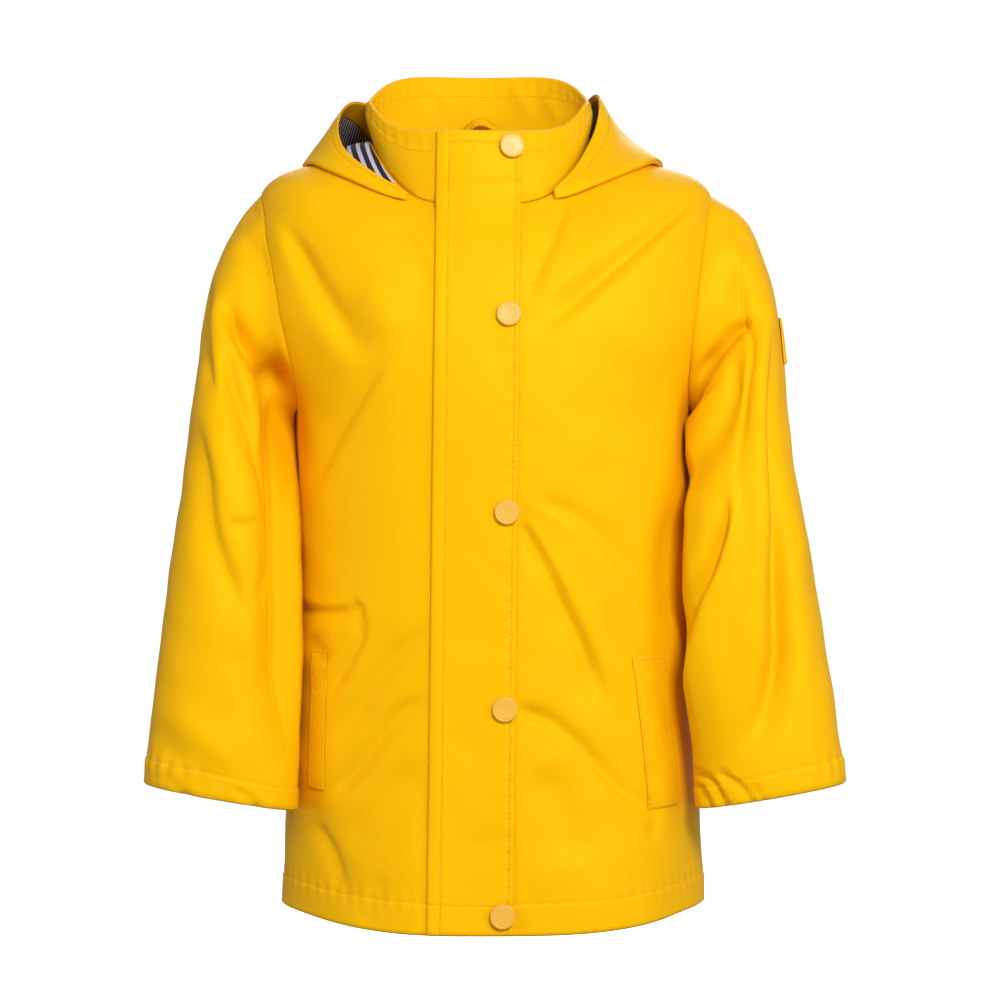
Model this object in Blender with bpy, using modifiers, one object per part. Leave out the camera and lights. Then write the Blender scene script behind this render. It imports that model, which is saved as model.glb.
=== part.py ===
"""Child's hooded raincoat in its worn shape, hollow, with the hood folded back.

Metres, +Z up, the coat's front faces -Y and the wearer's left is +X. The origin is at the
base of the neck. Every cloth piece is a wall between an outer grid of points and the same
points moved inward, and the grids come from a few tables of rings round the body, the
collar, the sleeves and the hood. Turns are in degrees: 0 at the wearer's left side, 90 at
the front, 180 at the right side and 270 at the back.
"""

import math
from collections import namedtuple

import bmesh
import bpy
import numpy as np

COAT_NAME = "kids_raincoat"

# ---------------------------------------------------------------- driving dimensions

SEAM_GAP = 0.0003
BODY_CLOTH = 0.0015
SLEEVE_CLOTH = 0.0015
COLLAR_CLOTH = 0.0026
HOOD_CLOTH = 0.0013
LINING_CLOTH = 0.0010
FLAP_CLOTH = 0.0018
WELT_CLOTH = 0.0013
WELT_CLEARANCE = 0.0009
TAB_CLOTH = 0.0012

FLAP_WIDTH = 0.0530
FLAP_CENTRE_AT_NECK = -0.0098
FLAP_SLANT = 0.0110
FLAP_CLEARANCE = 0.0008
FLAP_WELT_RISE = 0.0009

SNAP_RADIUS = 0.0080
SNAP_HEIGHT = 0.0024
SNAP_X = 0.0215
SNAP_SIDES = 18

HANGER_HALF_LENGTH = 0.0135
HANGER_WIDTH = 0.0050
HANGER_THICKNESS = 0.0014
HANGER_BULGE = 0.0075
HANGER_RISE = 0.0070

Ring = namedtuple("Ring", "name half_width front back side_z front_z back_z square rise shift")

# Rings round the body, from the hem up to the neck seam. A ring is half_width wide, reaches
# front and back from its middle, and its height runs from side_z to front_z or back_z.
# square is the ring's roundness (2 is an ellipse) and rise how late its height turns up.
BODY_RINGS = (
    Ring("hem", 0.1345, 0.104, 0.108, -0.459, -0.473, -0.470, 2.6, 2.8, -0.0008),
    Ring("low", 0.1325, 0.100, 0.105, -0.380, -0.389, -0.387, 2.6, 2.4, -0.0012),
    Ring("waist", 0.1298, 0.097, 0.101, -0.300, -0.306, -0.304, 2.6, 2.0, -0.0004),
    Ring("chest", 0.1290, 0.095, 0.099, -0.220, -0.226, -0.224, 2.6, 2.0, 0.0),
    Ring("armpit", 0.1270, 0.094, 0.098, -0.143, -0.158, -0.156, 2.6, 2.0, -0.0005),
    Ring("armhole", 0.1460, 0.092, 0.098, -0.070, -0.108, -0.100, 2.6, 2.0, -0.0030),
    Ring("shoulder_tip", 0.1415, 0.086, 0.093, -0.004, -0.068, -0.050, 2.5, 2.0, -0.0050),
    Ring("mid_shoulder", 0.1050, 0.077, 0.074, 0.016, -0.039, -0.006, 2.3, 2.6, -0.0075),
    Ring("neck", 0.0700, 0.064, 0.052, 0.030, -0.0135, 0.034, 2.1, 4.0, -0.0085),
)
HEM_ROW, ARMPIT_ROW, TIP_ROW, NECK_ROW = 0.0, 4.0, 6.0, 8.0
SKIRT_STEPS, ARMHOLE_STEPS, SHOULDER_STEPS = 12, 10, 4
FRONT_COLUMNS, BACK_COLUMNS = 9, 18

COLLAR_RINGS = (
    BODY_RINGS[-1],
    Ring("collar_middle", 0.0735, 0.0630, 0.060, 0.0465, 0.0105, 0.056, 2.1, 5.0, -0.0095),
    Ring("collar_top", 0.0725, 0.0600, 0.066, 0.0625, 0.0325, 0.0785, 2.15, 6.0, -0.0100),
)
COLLAR_TOP_ROW = 2.0
COLLAR_STEPS = 4

SideSeam = namedtuple("SideSeam", "hem armpit")
SIDE_SEAMS = {"left": SideSeam(3.0, 3.0), "right": SideSeam(17.0, 6.0)}
ARMHOLE_FRONT = 30.0
ARMHOLE_BACK = 27.0

SleeveRing = namedtuple("SleeveRing", "outer_x outer_z inner_x inner_z middle_y depth")

# Rings round each sleeve, fanning from the armhole to the cuff. outer and inner are the
# two ends of a ring seen from the front, depth is half its size from front to back.
SLEEVE_RINGS = {
    "right": (
        SleeveRing(-0.1665, -0.0220, -0.1300, -0.152, -0.003, 0.0500),
        SleeveRing(-0.1800, -0.0530, -0.1305, -0.163, -0.009, 0.0505),
        SleeveRing(-0.1875, -0.0910, -0.1295, -0.180, -0.023, 0.0490),
        SleeveRing(-0.1960, -0.1690, -0.1255, -0.220, -0.048, 0.0445),
        SleeveRing(-0.2085, -0.2665, -0.1238, -0.305, -0.060, 0.0405),
        SleeveRing(-0.2215, -0.3795, -0.1240, -0.3965, -0.065, 0.0380),
    ),
    "left": (
        SleeveRing(0.1640, -0.0220, 0.1290, -0.152, -0.003, 0.0500),
        SleeveRing(0.1785, -0.0580, 0.1292, -0.163, -0.011, 0.0505),
        SleeveRing(0.1850, -0.0950, 0.1285, -0.180, -0.026, 0.0490),
        SleeveRing(0.1905, -0.1690, 0.1258, -0.222, -0.051, 0.0445),
        SleeveRing(0.2060, -0.2665, 0.1235, -0.305, -0.062, 0.0400),
        SleeveRing(0.2225, -0.3785, 0.1280, -0.3950, -0.067, 0.0380),
    ),
}
SLEEVE_SQUARE = 2.3

Fold = namedtuple("Fold", "x0 z0 x1 z1 spread depth")

# The largest folds, as lines seen from the front or the back. A fold is a trough where its
# depth is negative and a ridge where it is positive, and spread is its half width.
FRONT_FOLDS = (
    Fold(-0.132, -0.020, -0.084, -0.099, 0.016, -0.0045),
    Fold(-0.066, -0.300, -0.092, -0.372, 0.014, -0.0035),
    Fold(-0.112, -0.400, -0.094, -0.450, 0.012, -0.0040),
    Fold(0.045, -0.015, 0.024, -0.066, 0.013, -0.0035),
    Fold(0.126, -0.006, 0.074, -0.062, 0.016, -0.0045),
    Fold(0.026, -0.220, 0.061, -0.316, 0.015, -0.0040),
    Fold(0.061, -0.316, 0.084, -0.362, 0.014, -0.0045),
    Fold(0.030, -0.340, 0.076, -0.378, 0.013, -0.0035),
)
BACK_FOLDS = (
    Fold(-0.105, -0.115, -0.060, -0.235, 0.018, -0.0050),
    Fold(0.102, -0.120, 0.066, -0.215, 0.017, -0.0045),
    Fold(-0.050, -0.250, -0.078, -0.430, 0.018, -0.0045),
    Fold(0.020, -0.230, 0.012, -0.440, 0.020, -0.0035),
    Fold(0.082, -0.290, 0.092, -0.450, 0.017, -0.0045),
)
SLEEVE_FOLDS = {
    "right": (
        Fold(-0.168, -0.077, -0.126, -0.140, 0.010, -0.0065),
        Fold(-0.176, -0.080, -0.160, -0.150, 0.011, 0.0030),
        Fold(-0.158, -0.030, -0.138, -0.066, 0.011, -0.0030),
        Fold(-0.150, -0.230, -0.172, -0.330, 0.014, -0.0030),
    ),
    "left": (
        Fold(0.160, -0.086, 0.126, -0.130, 0.010, -0.0060),
        Fold(0.163, -0.043, 0.160, -0.110, 0.011, -0.0030),
        Fold(0.172, -0.310, 0.148, -0.368, 0.013, -0.0035),
        Fold(0.180, -0.180, 0.168, -0.260, 0.013, -0.0025),
    ),
}
HEM_WAVE_COUNT = 7
HEM_WAVE_DEPTH = 0.0022
HEM_WAVE_ROWS = 1.2

HoodStation = namedtuple(
    "HoodStation", "turn fold_turn fold_row lift fold_size brim_x brim_y brim_z bulge"
)

# Stations round the folded hood, from its right front end, behind the neck, to its left
# front end. turn is where it leaves the neck seam. The cloth lies down on the body as far
# as fold_turn and fold_row, a little lift above it, turns over in a fold of radius fold_size,
# and comes back up, bulging, to the brim.
HOOD_STATIONS = (
    HoodStation(131.5, 132.5, 7.78, 0.0030, 0.0028, -0.0580, -0.0530, -0.0005, 0.000),
    HoodStation(146.0, 150.0, 7.20, 0.0034, 0.0048, -0.0780, -0.0470, 0.0090, 0.000),
    HoodStation(162.0, 164.0, 6.95, 0.0038, 0.0056, -0.0960, -0.0310, 0.0240, 0.000),
    HoodStation(180.0, 181.0, 6.76, 0.0042, 0.0058, -0.1020, -0.0080, 0.0430, 0.000),
    HoodStation(202.0, 204.0, 6.62, 0.0050, 0.0070, -0.0945, 0.0220, 0.0590, 0.001),
    HoodStation(224.0, 226.0, 6.05, 0.0074, 0.0090, -0.0760, 0.0560, 0.0600, 0.008),
    HoodStation(246.0, 248.0, 4.98, 0.0066, 0.0110, -0.0430, 0.0840, 0.0540, 0.015),
    HoodStation(270.0, 270.0, 4.55, 0.0055, 0.0120, -0.0040, 0.0960, 0.0500, 0.018),
    HoodStation(294.0, 292.0, 4.98, 0.0055, 0.0110, 0.0340, 0.0860, 0.0540, 0.015),
    HoodStation(316.0, 314.0, 6.05, 0.0055, 0.0090, 0.0590, 0.0600, 0.0610, 0.006),
    HoodStation(338.0, 336.0, 6.66, 0.0048, 0.0070, 0.0700, 0.0300, 0.0650, -0.003),
    HoodStation(360.0, 359.0, 6.90, 0.0042, 0.0056, 0.0725, 0.0040, 0.0585, -0.005),
    HoodStation(378.0, 376.0, 7.02, 0.0038, 0.0056, 0.0685, -0.0180, 0.0370, -0.001),
    HoodStation(394.0, 390.0, 7.25, 0.0034, 0.0050, 0.0560, -0.0410, 0.0140, 0.000),
    HoodStation(408.5, 407.5, 7.78, 0.0030, 0.0028, 0.0405, -0.0530, 0.0000, 0.000),
)
HOOD_SEAM_LIFT = 0.0008
HOOD_LAID_STEPS = 3.0
HOOD_SEAM_ROW = 7.965
HOOD_PROFILE_STEPS = (0.0, 0.7, 1.4, 2.1, 3.0, 3.5, 4.0, 4.5, 5.0, 5.5, 6.0, 6.55, 6.8, 7.0)
HOOD_PLACES = (0.0, 0.3, 0.6, 0.9, 1.4, 1.9, 2.4, 3.0, 3.5, 4.0, 4.4, 4.8, 5.2, 5.7, 6.3, 7.0)
FACED_FROM_PLACE, LINED_FROM_PLACE = 2, 3
LINING_FIRST_STEP = 1
FACING_FIRST_STEP = 11

Welt = namedtuple("Welt", "top_x bottom_x top_z bottom_z width")
POCKET_WELTS = {
    "left": Welt(0.0880, 0.0990, -0.2997, -0.3954, 0.0250),
    "right": Welt(-0.1060, -0.1075, -0.2967, -0.3845, 0.0145),
}

SNAP_HEIGHTS = (0.0231, -0.0850, -0.2090, -0.3325, -0.4615)

SLEEVE_TAB = {"around": (-13.0, 13.0), "along": (2.78, 3.30)}

Finish = namedtuple("Finish", "colour roughness metallic")
FINISHES = {
    "coated_cloth": Finish((0.93, 0.55, 0.010), 0.45, 0.0),
    "striped_lining": Finish((0.20, 0.19, 0.28), 0.85, 0.0),
    "snap_plastic": Finish((0.86, 0.50, 0.050), 0.40, 0.0),
}


# ---------------------------------------------------------------- curves and surfaces

def unit(vector):
    """The vector at length one."""
    return vector / np.linalg.norm(vector)


def smoothstep(value, low, high):
    """A soft step from 0 at low to 1 at high."""
    t = min(max((value - low) / (high - low), 0.0), 1.0)
    return t * t * (3.0 - 2.0 * t)


def smooth_through(points, at):
    """A Catmull-Rom curve through rows of numbers, read at a fractional row."""
    last = len(points) - 1
    i = min(max(int(at), 0), last - 1)
    t = at - i
    before = points[i - 1] if i > 0 else 2.0 * points[0] - points[1]
    after = points[i + 2] if i + 2 <= last else 2.0 * points[last] - points[last - 1]
    a, b = points[i], points[i + 1]
    slope_a, slope_b = (b - before) / 2.0, (after - a) / 2.0
    return (
        a * (2 * t**3 - 3 * t**2 + 1) + b * (3 * t**2 - 2 * t**3)
        + slope_a * (t**3 - 2 * t**2 + t) + slope_b * (t**3 - t**2)
    )


def table_numbers(rows):
    """The number columns of a table of rings as an array."""
    return np.array([[value for value in row if not isinstance(value, str)] for row in rows])


BODY_NUMBERS = table_numbers(BODY_RINGS)
COLLAR_NUMBERS = table_numbers(COLLAR_RINGS)
HOOD_NUMBERS = table_numbers(HOOD_STATIONS)


def ring_point(numbers, turn, row):
    """A point of the surface through a table of rings."""
    half_width, front, back, side_z, front_z, back_z, square, rise, shift = smooth_through(numbers, row)
    c, s = math.cos(math.radians(turn)), math.sin(math.radians(turn))
    scale = (abs(c) ** square + abs(s) ** square) ** (-1.0 / square)
    reach, far_z = (-front, front_z) if s > 0.0 else (-back, back_z)
    height = far_z + (side_z - far_z) * abs(c * scale) ** rise
    return np.array((shift + half_width * c * scale, reach * s * scale, height))


def normal_at(surface, a, b, step_a, step_b):
    """The unit normal of surface(a, b), by small steps either way."""
    along_a = surface(a + step_a, b) - surface(a - step_a, b)
    along_b = surface(a, b + step_b) - surface(a, b - step_b)
    return unit(np.cross(along_b, along_a))


def fold_depth(folds, x, z):
    """How far a list of folds moves the cloth at a place seen from the front."""
    depth = 0.0
    for fold in folds:
        start, end = np.array((fold.x0, fold.z0)), np.array((fold.x1, fold.z1))
        line = end - start
        along = np.dot(np.array((x, z)) - start, line) / np.dot(line, line)
        nearest = start + line * min(max(along, 0.0), 1.0)
        distance = math.hypot(x - nearest[0], z - nearest[1])
        depth += fold.depth * math.exp(-((distance / fold.spread) ** 2))
    return depth


def body_base(turn, row):
    """The body's surface before its folds."""
    return ring_point(BODY_NUMBERS, turn, row)


def body_normal(turn, row):
    """The body's outward normal."""
    row = min(max(row, HEM_ROW + 0.02), NECK_ROW - 0.02)
    return normal_at(body_base, turn, row, 0.5, 0.02)


def body_point(turn, row, out=0.0):
    """A point of the folded body surface, moved out along its normal."""
    base = body_base(turn, row)
    facing = math.sin(math.radians(turn))
    folds = FRONT_FOLDS if facing > 0.0 else BACK_FOLDS
    depth = fold_depth(folds, base[0], base[2]) * smoothstep(abs(facing), 0.10, 0.40)
    waves = math.sin(HEM_WAVE_COUNT * math.radians(turn) + 0.6)
    depth += HEM_WAVE_DEPTH * waves * (1.0 - smoothstep(row, HEM_ROW, HEM_WAVE_ROWS))
    return base + body_normal(turn, row) * (depth + out)


def collar_base(turn, row):
    """The collar's outer surface."""
    return ring_point(COLLAR_NUMBERS, turn, row)


def collar_normal(turn, row):
    """The collar's outward normal."""
    row = min(max(row, 0.02), COLLAR_TOP_ROW - 0.02)
    return normal_at(collar_base, turn, row, 0.5, 0.02)


def collar_point(turn, row, out=0.0):
    """A point of the collar, moved out along its normal."""
    return collar_base(turn, row) + collar_normal(turn, row) * out


def turn_at_x(numbers, row, x):
    """The turn on the front half of a ring at which the surface has this x."""
    low, high = 1.0, 179.0
    for _ in range(40):
        middle = (low + high) / 2.0
        if ring_point(numbers, middle, row)[0] > x:
            low = middle
        else:
            high = middle
    return (low + high) / 2.0


def flap_centre_x(numbers, row):
    """The x of the flap's middle line at a ring."""
    height = ring_point(numbers, 92.0, row)[2]
    return FLAP_CENTRE_AT_NECK + FLAP_SLANT * height


def side_seam(side, row):
    """How far the side or shoulder seam lies forward of the body's side, in degrees."""
    seam = SIDE_SEAMS[side]
    if row <= ARMPIT_ROW:
        return seam.hem + (seam.armpit - seam.hem) * row / ARMPIT_ROW
    return seam.armpit * max(0.0, (TIP_ROW - row) / (TIP_ROW - ARMPIT_ROW))


def armhole_opening(row):
    """How wide the armhole stands open at a row, from 0 at its ends to 1."""
    middle, half = (ARMPIT_ROW + TIP_ROW) / 2.0, (TIP_ROW - ARMPIT_ROW) / 2.0
    return math.sqrt(max(0.0, 1.0 - ((row - middle) / half) ** 2))


def on_side(side, forward):
    """The turn that lies forward degrees in front of the body's left or right side."""
    return forward if side == "left" else 180.0 - forward


def sleeve_start(side, around):
    """The turn and row of the armhole at an angle round it, 0 at the top, 90 in front."""
    c, s = math.cos(math.radians(around)), math.sin(math.radians(around))
    row = (ARMPIT_ROW + TIP_ROW) / 2.0 + c * (TIP_ROW - ARMPIT_ROW) / 2.0
    forward = side_seam(side, row) + s * (ARMHOLE_FRONT if s > 0.0 else ARMHOLE_BACK)
    return on_side(side, forward), row


def armhole_directions(side, around):
    """Into the armhole's opening along the body's surface, and out from the surface."""
    turn, row = sleeve_start(side, around)
    centre_row = (ARMPIT_ROW + TIP_ROW) / 2.0
    centre_turn = on_side(side, side_seam(side, centre_row))
    step = 0.04
    inner = body_base(turn + step * (centre_turn - turn), row + step * (centre_row - row))
    normal = body_normal(turn, row)
    opening = inner - body_base(turn, row)
    opening = unit(opening - normal * np.dot(opening, normal))
    return opening, normal


def sleeve_ring_point(ring, around):
    """A point of one sleeve ring."""
    outer = np.array((ring.outer_x, ring.middle_y, ring.outer_z))
    inner = np.array((ring.inner_x, ring.middle_y, ring.inner_z))
    c, s = math.cos(math.radians(around)), math.sin(math.radians(around))
    scale = (abs(c) ** SLEEVE_SQUARE + abs(s) ** SLEEVE_SQUARE) ** (-1.0 / SLEEVE_SQUARE)
    forward = np.array((0.0, -ring.depth, 0.0))
    return (outer + inner) / 2.0 + (outer - inner) / 2.0 * c * scale + forward * s * scale


def sleeve_base(side, around, along):
    """The sleeve's surface before its folds. along is 0 at the armhole."""
    turn, row = sleeve_start(side, around)
    opening, normal = armhole_directions(side, around)
    start = body_point(turn, row) + (opening + normal) * SEAM_GAP
    rings = [start] + [sleeve_ring_point(ring, around) for ring in SLEEVE_RINGS[side]]
    return smooth_through(np.array(rings), along)


def sleeve_normal(side, around, along):
    """The sleeve's outward normal."""
    last = len(SLEEVE_RINGS[side])
    along = min(max(along, 0.03), last - 0.03)
    normal = normal_at(lambda a, b: sleeve_base(side, a, b), around, along, 1.0, 0.02)
    return -normal if side == "left" else normal


def sleeve_point(side, around, along, out=0.0):
    """A point of the folded sleeve, moved out along its normal."""
    base = sleeve_base(side, around, along)
    front = smoothstep(math.sin(math.radians(around)), -0.1, 0.4)
    rest = 1.0 - 0.6 * (1.0 - front)
    depth = fold_depth(SLEEVE_FOLDS[side], base[0], base[2]) * rest
    depth *= smoothstep(along, 0.0, 0.8)
    return base + sleeve_normal(side, around, along) * (depth + out)


def sleeve_wall_direction(side, around):
    """Inward at the armhole, turned so that the wall stays clear of the body's edge."""
    opening, _ = armhole_directions(side, around)
    inward = -sleeve_normal(side, around, 0.0)
    back = min(0.0, np.dot(inward, opening))
    return unit(inward - opening * back)


# ---------------------------------------------------------------- the folded hood

def hood_laid(station, share):
    """A point of the hood where it lies on the body, from the neck seam to the fold."""
    turn = station.turn + (station.fold_turn - station.turn) * share
    row = HOOD_SEAM_ROW + (station.fold_row - HOOD_SEAM_ROW) * share
    lift = HOOD_SEAM_LIFT + (station.lift - HOOD_SEAM_LIFT) * smoothstep(share, 0.0, 0.3)
    return body_point(turn, row, lift)


def hood_turned(station):
    """The points that the hood passes from just before its fold, over it, to its brim."""
    before = hood_laid(station, 1.0 - 1.0 / HOOD_LAID_STEPS)
    edge = hood_laid(station, 1.0)
    away = unit(edge - hood_laid(station, 0.85))
    up = body_normal(station.fold_turn, station.fold_row)
    size = station.fold_size
    turned = edge + away * size + up * size
    over = edge + up * 2.0 * size
    brim = np.array((station.brim_x, station.brim_y, station.brim_z))
    middle = (over + brim) / 2.0 + unit(away * 0.35 + up) * station.bulge
    return np.array((before, edge, turned, over, middle, brim))


def hood_point(station_row, step):
    """A point of the hood's outer face."""
    station = HoodStation(*smooth_through(HOOD_NUMBERS, station_row))
    if step <= HOOD_LAID_STEPS:
        return hood_laid(station, step / HOOD_LAID_STEPS)
    return smooth_through(hood_turned(station), step - HOOD_LAID_STEPS + 1.0)


def hood_inward(station_row, step):
    """The direction from the hood's outer face to its lined face."""
    last = len(HOOD_STATIONS) - 1
    station_row = min(max(station_row, 0.05), last - 0.05)
    step = min(max(step, 0.05), HOOD_PROFILE_STEPS[-1] - 0.05)
    return -normal_at(hood_point, station_row, step, 0.04, 0.04)


# ---------------------------------------------------------------- meshes

def new_material(name):
    """A Principled material from the table of finishes."""
    finish = FINISHES[name]
    material = bpy.data.materials.new(name)
    material.use_nodes = True
    shader = material.node_tree.nodes["Principled BSDF"]
    shader.inputs["Base Color"].default_value = (*finish.colour, 1.0)
    shader.inputs["Roughness"].default_value = finish.roughness
    shader.inputs["Metallic"].default_value = finish.metallic
    material.diffuse_color = (*finish.colour, 1.0)
    return material


def new_object(name, mesh, collection, finish):
    """An object of its own, with a material of its own."""
    mesh.materials.append(new_material(finish))
    piece = bpy.data.objects.new(name, mesh)
    collection.objects.link(piece)
    return piece


def cloth_wall(name, outer, inner, collection, finish="coated_cloth", tube=False):
    """A closed wall between two grids of points. tube joins the last column to the first."""
    rows, columns = len(outer), len(outer[0])
    mesh = bpy.data.meshes.new(name)
    grid = bmesh.new()
    faces = [
        [[grid.verts.new(point) for point in line] for line in points]
        for points in (outer, inner)
    ]
    last = columns if tube else columns - 1
    for i in range(rows - 1):
        for j in range(last):
            k = (j + 1) % columns
            for side in faces:
                grid.faces.new((side[i][j], side[i][k], side[i + 1][k], side[i + 1][j]))
    for i in (0, rows - 1):
        for j in range(last):
            k = (j + 1) % columns
            grid.faces.new((faces[0][i][j], faces[0][i][k], faces[1][i][k], faces[1][i][j]))
    for j in () if tube else (0, columns - 1):
        for i in range(rows - 1):
            grid.faces.new(
                (faces[0][i][j], faces[0][i + 1][j], faces[1][i + 1][j], faces[1][i][j])
            )
    bmesh.ops.recalc_face_normals(grid, faces=grid.faces)
    grid.to_mesh(mesh)
    grid.free()
    mesh.shade_smooth()
    mesh.set_sharp_from_angle(angle=math.radians(40.0))
    return new_object(name, mesh, collection, finish)


def pull_in(points, neighbours, amount=SEAM_GAP / 2.0):
    """Move an edge's points towards their neighbours inside the piece."""
    for point, neighbour in zip(points, neighbours):
        point += unit(neighbour - point) * amount


def trim_sides(*grids):
    """Take half a seam gap off both side edges of a piece's grids."""
    for grid in grids:
        pull_in(grid[:, 0], grid[:, 1])
        pull_in(grid[:, -1], grid[:, -2])


def body_rows():
    """Rows of the body pieces, close together where the armhole's edge turns."""
    skirt = np.linspace(HEM_ROW, ARMPIT_ROW, SKIRT_STEPS + 1)[:-1]
    half = (TIP_ROW - ARMPIT_ROW) / 2.0
    turned = [math.cos(math.pi * i / ARMHOLE_STEPS) for i in range(ARMHOLE_STEPS)]
    armhole = [ARMPIT_ROW + half * (1.0 - share) for share in turned]
    shoulder = np.linspace(TIP_ROW, NECK_ROW, SHOULDER_STEPS + 1)
    return [*skirt, *armhole, *shoulder]


def body_grid(left_turn, right_turn, columns, out):
    """A grid on the body between two edges, each given as a turn at a row."""
    return np.array([
        [
            body_point(left_turn(row) + (right_turn(row) - left_turn(row)) * i / columns, row, out)
            for i in range(columns + 1)
        ]
        for row in body_rows()
    ])


def body_panel(name, left_turn, right_turn, columns, collection):
    """One body panel, with room for its seams all round."""
    outer = body_grid(left_turn, right_turn, columns, 0.0)
    inner = body_grid(left_turn, right_turn, columns, -BODY_CLOTH)
    trim_sides(outer, inner)
    for grid in (outer, inner):
        pull_in(grid[-1], grid[-2])
    return cloth_wall(name, outer, inner, collection)


def front_edge(side, row):
    """The turn of a front panel's outer edge: side seam, armhole, shoulder seam."""
    forward = side_seam(side, row) + ARMHOLE_FRONT * armhole_opening(row)
    return on_side(side, forward)


def back_edge(side, row):
    """The turn of the back panel's edge: side seam, armhole, shoulder seam."""
    forward = side_seam(side, row) - ARMHOLE_BACK * armhole_opening(row)
    return 360.0 + forward if side == "left" else 180.0 - forward


def front_middle(row):
    """The turn at which the two fronts meet, under the flap."""
    return turn_at_x(BODY_NUMBERS, row, flap_centre_x(BODY_NUMBERS, row))


def build_body(collection):
    """The back and the two fronts."""
    body_panel(
        "back", lambda row: back_edge("right", row), lambda row: back_edge("left", row),
        BACK_COLUMNS, collection,
    )
    body_panel(
        "front_left", lambda row: front_edge("left", row), front_middle,
        FRONT_COLUMNS, collection,
    )
    body_panel(
        "front_right", front_middle, lambda row: front_edge("right", row),
        FRONT_COLUMNS, collection,
    )


def build_sleeve(side, collection):
    """A set-in sleeve, open at both ends."""
    arounds = [180.0 * i / ARMHOLE_STEPS for i in range(2 * ARMHOLE_STEPS)]
    alongs = [0.0, 0.5, 1.0, 1.5, 2.0, 2.5, 3.0, 3.4, 3.8, 4.2, 4.6, 5.0, 5.35, 5.7, 6.0]
    outer = [[sleeve_point(side, around, along) for around in arounds] for along in alongs]
    inner = [
        [sleeve_point(side, around, along, -SLEEVE_CLOTH) for around in arounds]
        for along in alongs
    ]
    for i, around in enumerate(arounds):
        inner[0][i] = outer[0][i] + sleeve_wall_direction(side, around) * SLEEVE_CLOTH
    cloth_wall("sleeve_" + side, outer, inner, collection, tube=True)


def collar_grid(out):
    """A grid round the collar from its centre front, round the back, to centre front."""
    grid = []
    for row in np.linspace(0.0, COLLAR_TOP_ROW, COLLAR_STEPS + 1):
        start = turn_at_x(COLLAR_NUMBERS, row, flap_centre_x(COLLAR_NUMBERS, row))
        turns = [
            *np.linspace(start, 180.0, FRONT_COLUMNS + 1)[:-1],
            *np.linspace(180.0, 360.0, BACK_COLUMNS + 1)[:-1],
            *np.linspace(360.0, 360.0 + start, FRONT_COLUMNS + 1),
        ]
        grid.append([collar_point(turn, row, out) for turn in turns])
    return np.array(grid)


def build_collar(collection):
    """The stand-up collar, open at centre front."""
    outer, inner = collar_grid(0.0), collar_grid(-COLLAR_CLOTH)
    trim_sides(outer, inner)
    for grid in (outer, inner):
        pull_in(grid[0], grid[1])
    cloth_wall("collar", outer, inner, collection)


def flap_grid(offsets, outs):
    """A grid of the flap, hem to collar top. offsets run across from its left edge."""
    grid = []
    for numbers, moved, rows in (
        (BODY_NUMBERS, body_point, body_rows()[:-1]),
        (COLLAR_NUMBERS, collar_point, (0.3, 0.8, 1.4, COLLAR_TOP_ROW)),
    ):
        for row in rows:
            edge = flap_centre_x(numbers, row) - FLAP_WIDTH / 2.0
            turns = [turn_at_x(numbers, row, edge + offset) for offset in offsets]
            grid.append([moved(turn, row, out) for turn, out in zip(turns, outs)])
    return np.array(grid)


def build_flap(collection):
    """The storm flap over both fronts and the collar, with the welt along its sewn edge."""
    offsets = (0.0, 0.0015, 0.0062, 0.0080, 0.0200, 0.0330, 0.0440, FLAP_WIDTH)
    raised = (0.3, 1.0, 1.0, 0.0, 0.0, 0.0, 0.0, 0.0)
    inner = flap_grid(offsets, [FLAP_CLEARANCE] * len(offsets))
    outs = [FLAP_CLEARANCE + FLAP_CLOTH + FLAP_WELT_RISE * share for share in raised]
    outer = flap_grid(offsets, outs)
    cloth_wall("storm_flap", outer, inner, collection)


def flap_place(height):
    """A seat on the flap's face for a cap: its point and normal, clear of the cloth."""
    on_collar = height > BODY_RINGS[-1].front_z
    numbers = COLLAR_NUMBERS if on_collar else BODY_NUMBERS
    moved = collar_point if on_collar else body_point
    normals = collar_normal if on_collar else body_normal
    low, high = 0.0, float(len(numbers) - 1)
    for _ in range(40):
        row = (low + high) / 2.0
        turn = turn_at_x(numbers, row, flap_centre_x(numbers, row) + SNAP_X - 0.001)
        if ring_point(numbers, turn, row)[2] < height:
            low = row
        else:
            high = row
    face = FLAP_CLEARANCE + FLAP_CLOTH
    place, normal = moved(turn, row, face), normals(turn, row)
    rim = [
        moved(turn + side * SNAP_RADIUS / 0.0018, row + up * SNAP_RADIUS / 0.04, face)
        for side in (-1.0, 0.0, 1.0) for up in (-1.0, 0.0, 1.0)
        if moved is body_point and HEM_ROW < row + up * SNAP_RADIUS / 0.04 < NECK_ROW
    ]
    highest = max([np.dot(point - place, normal) for point in rim] + [0.0])
    return place + normal * highest, normal


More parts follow.
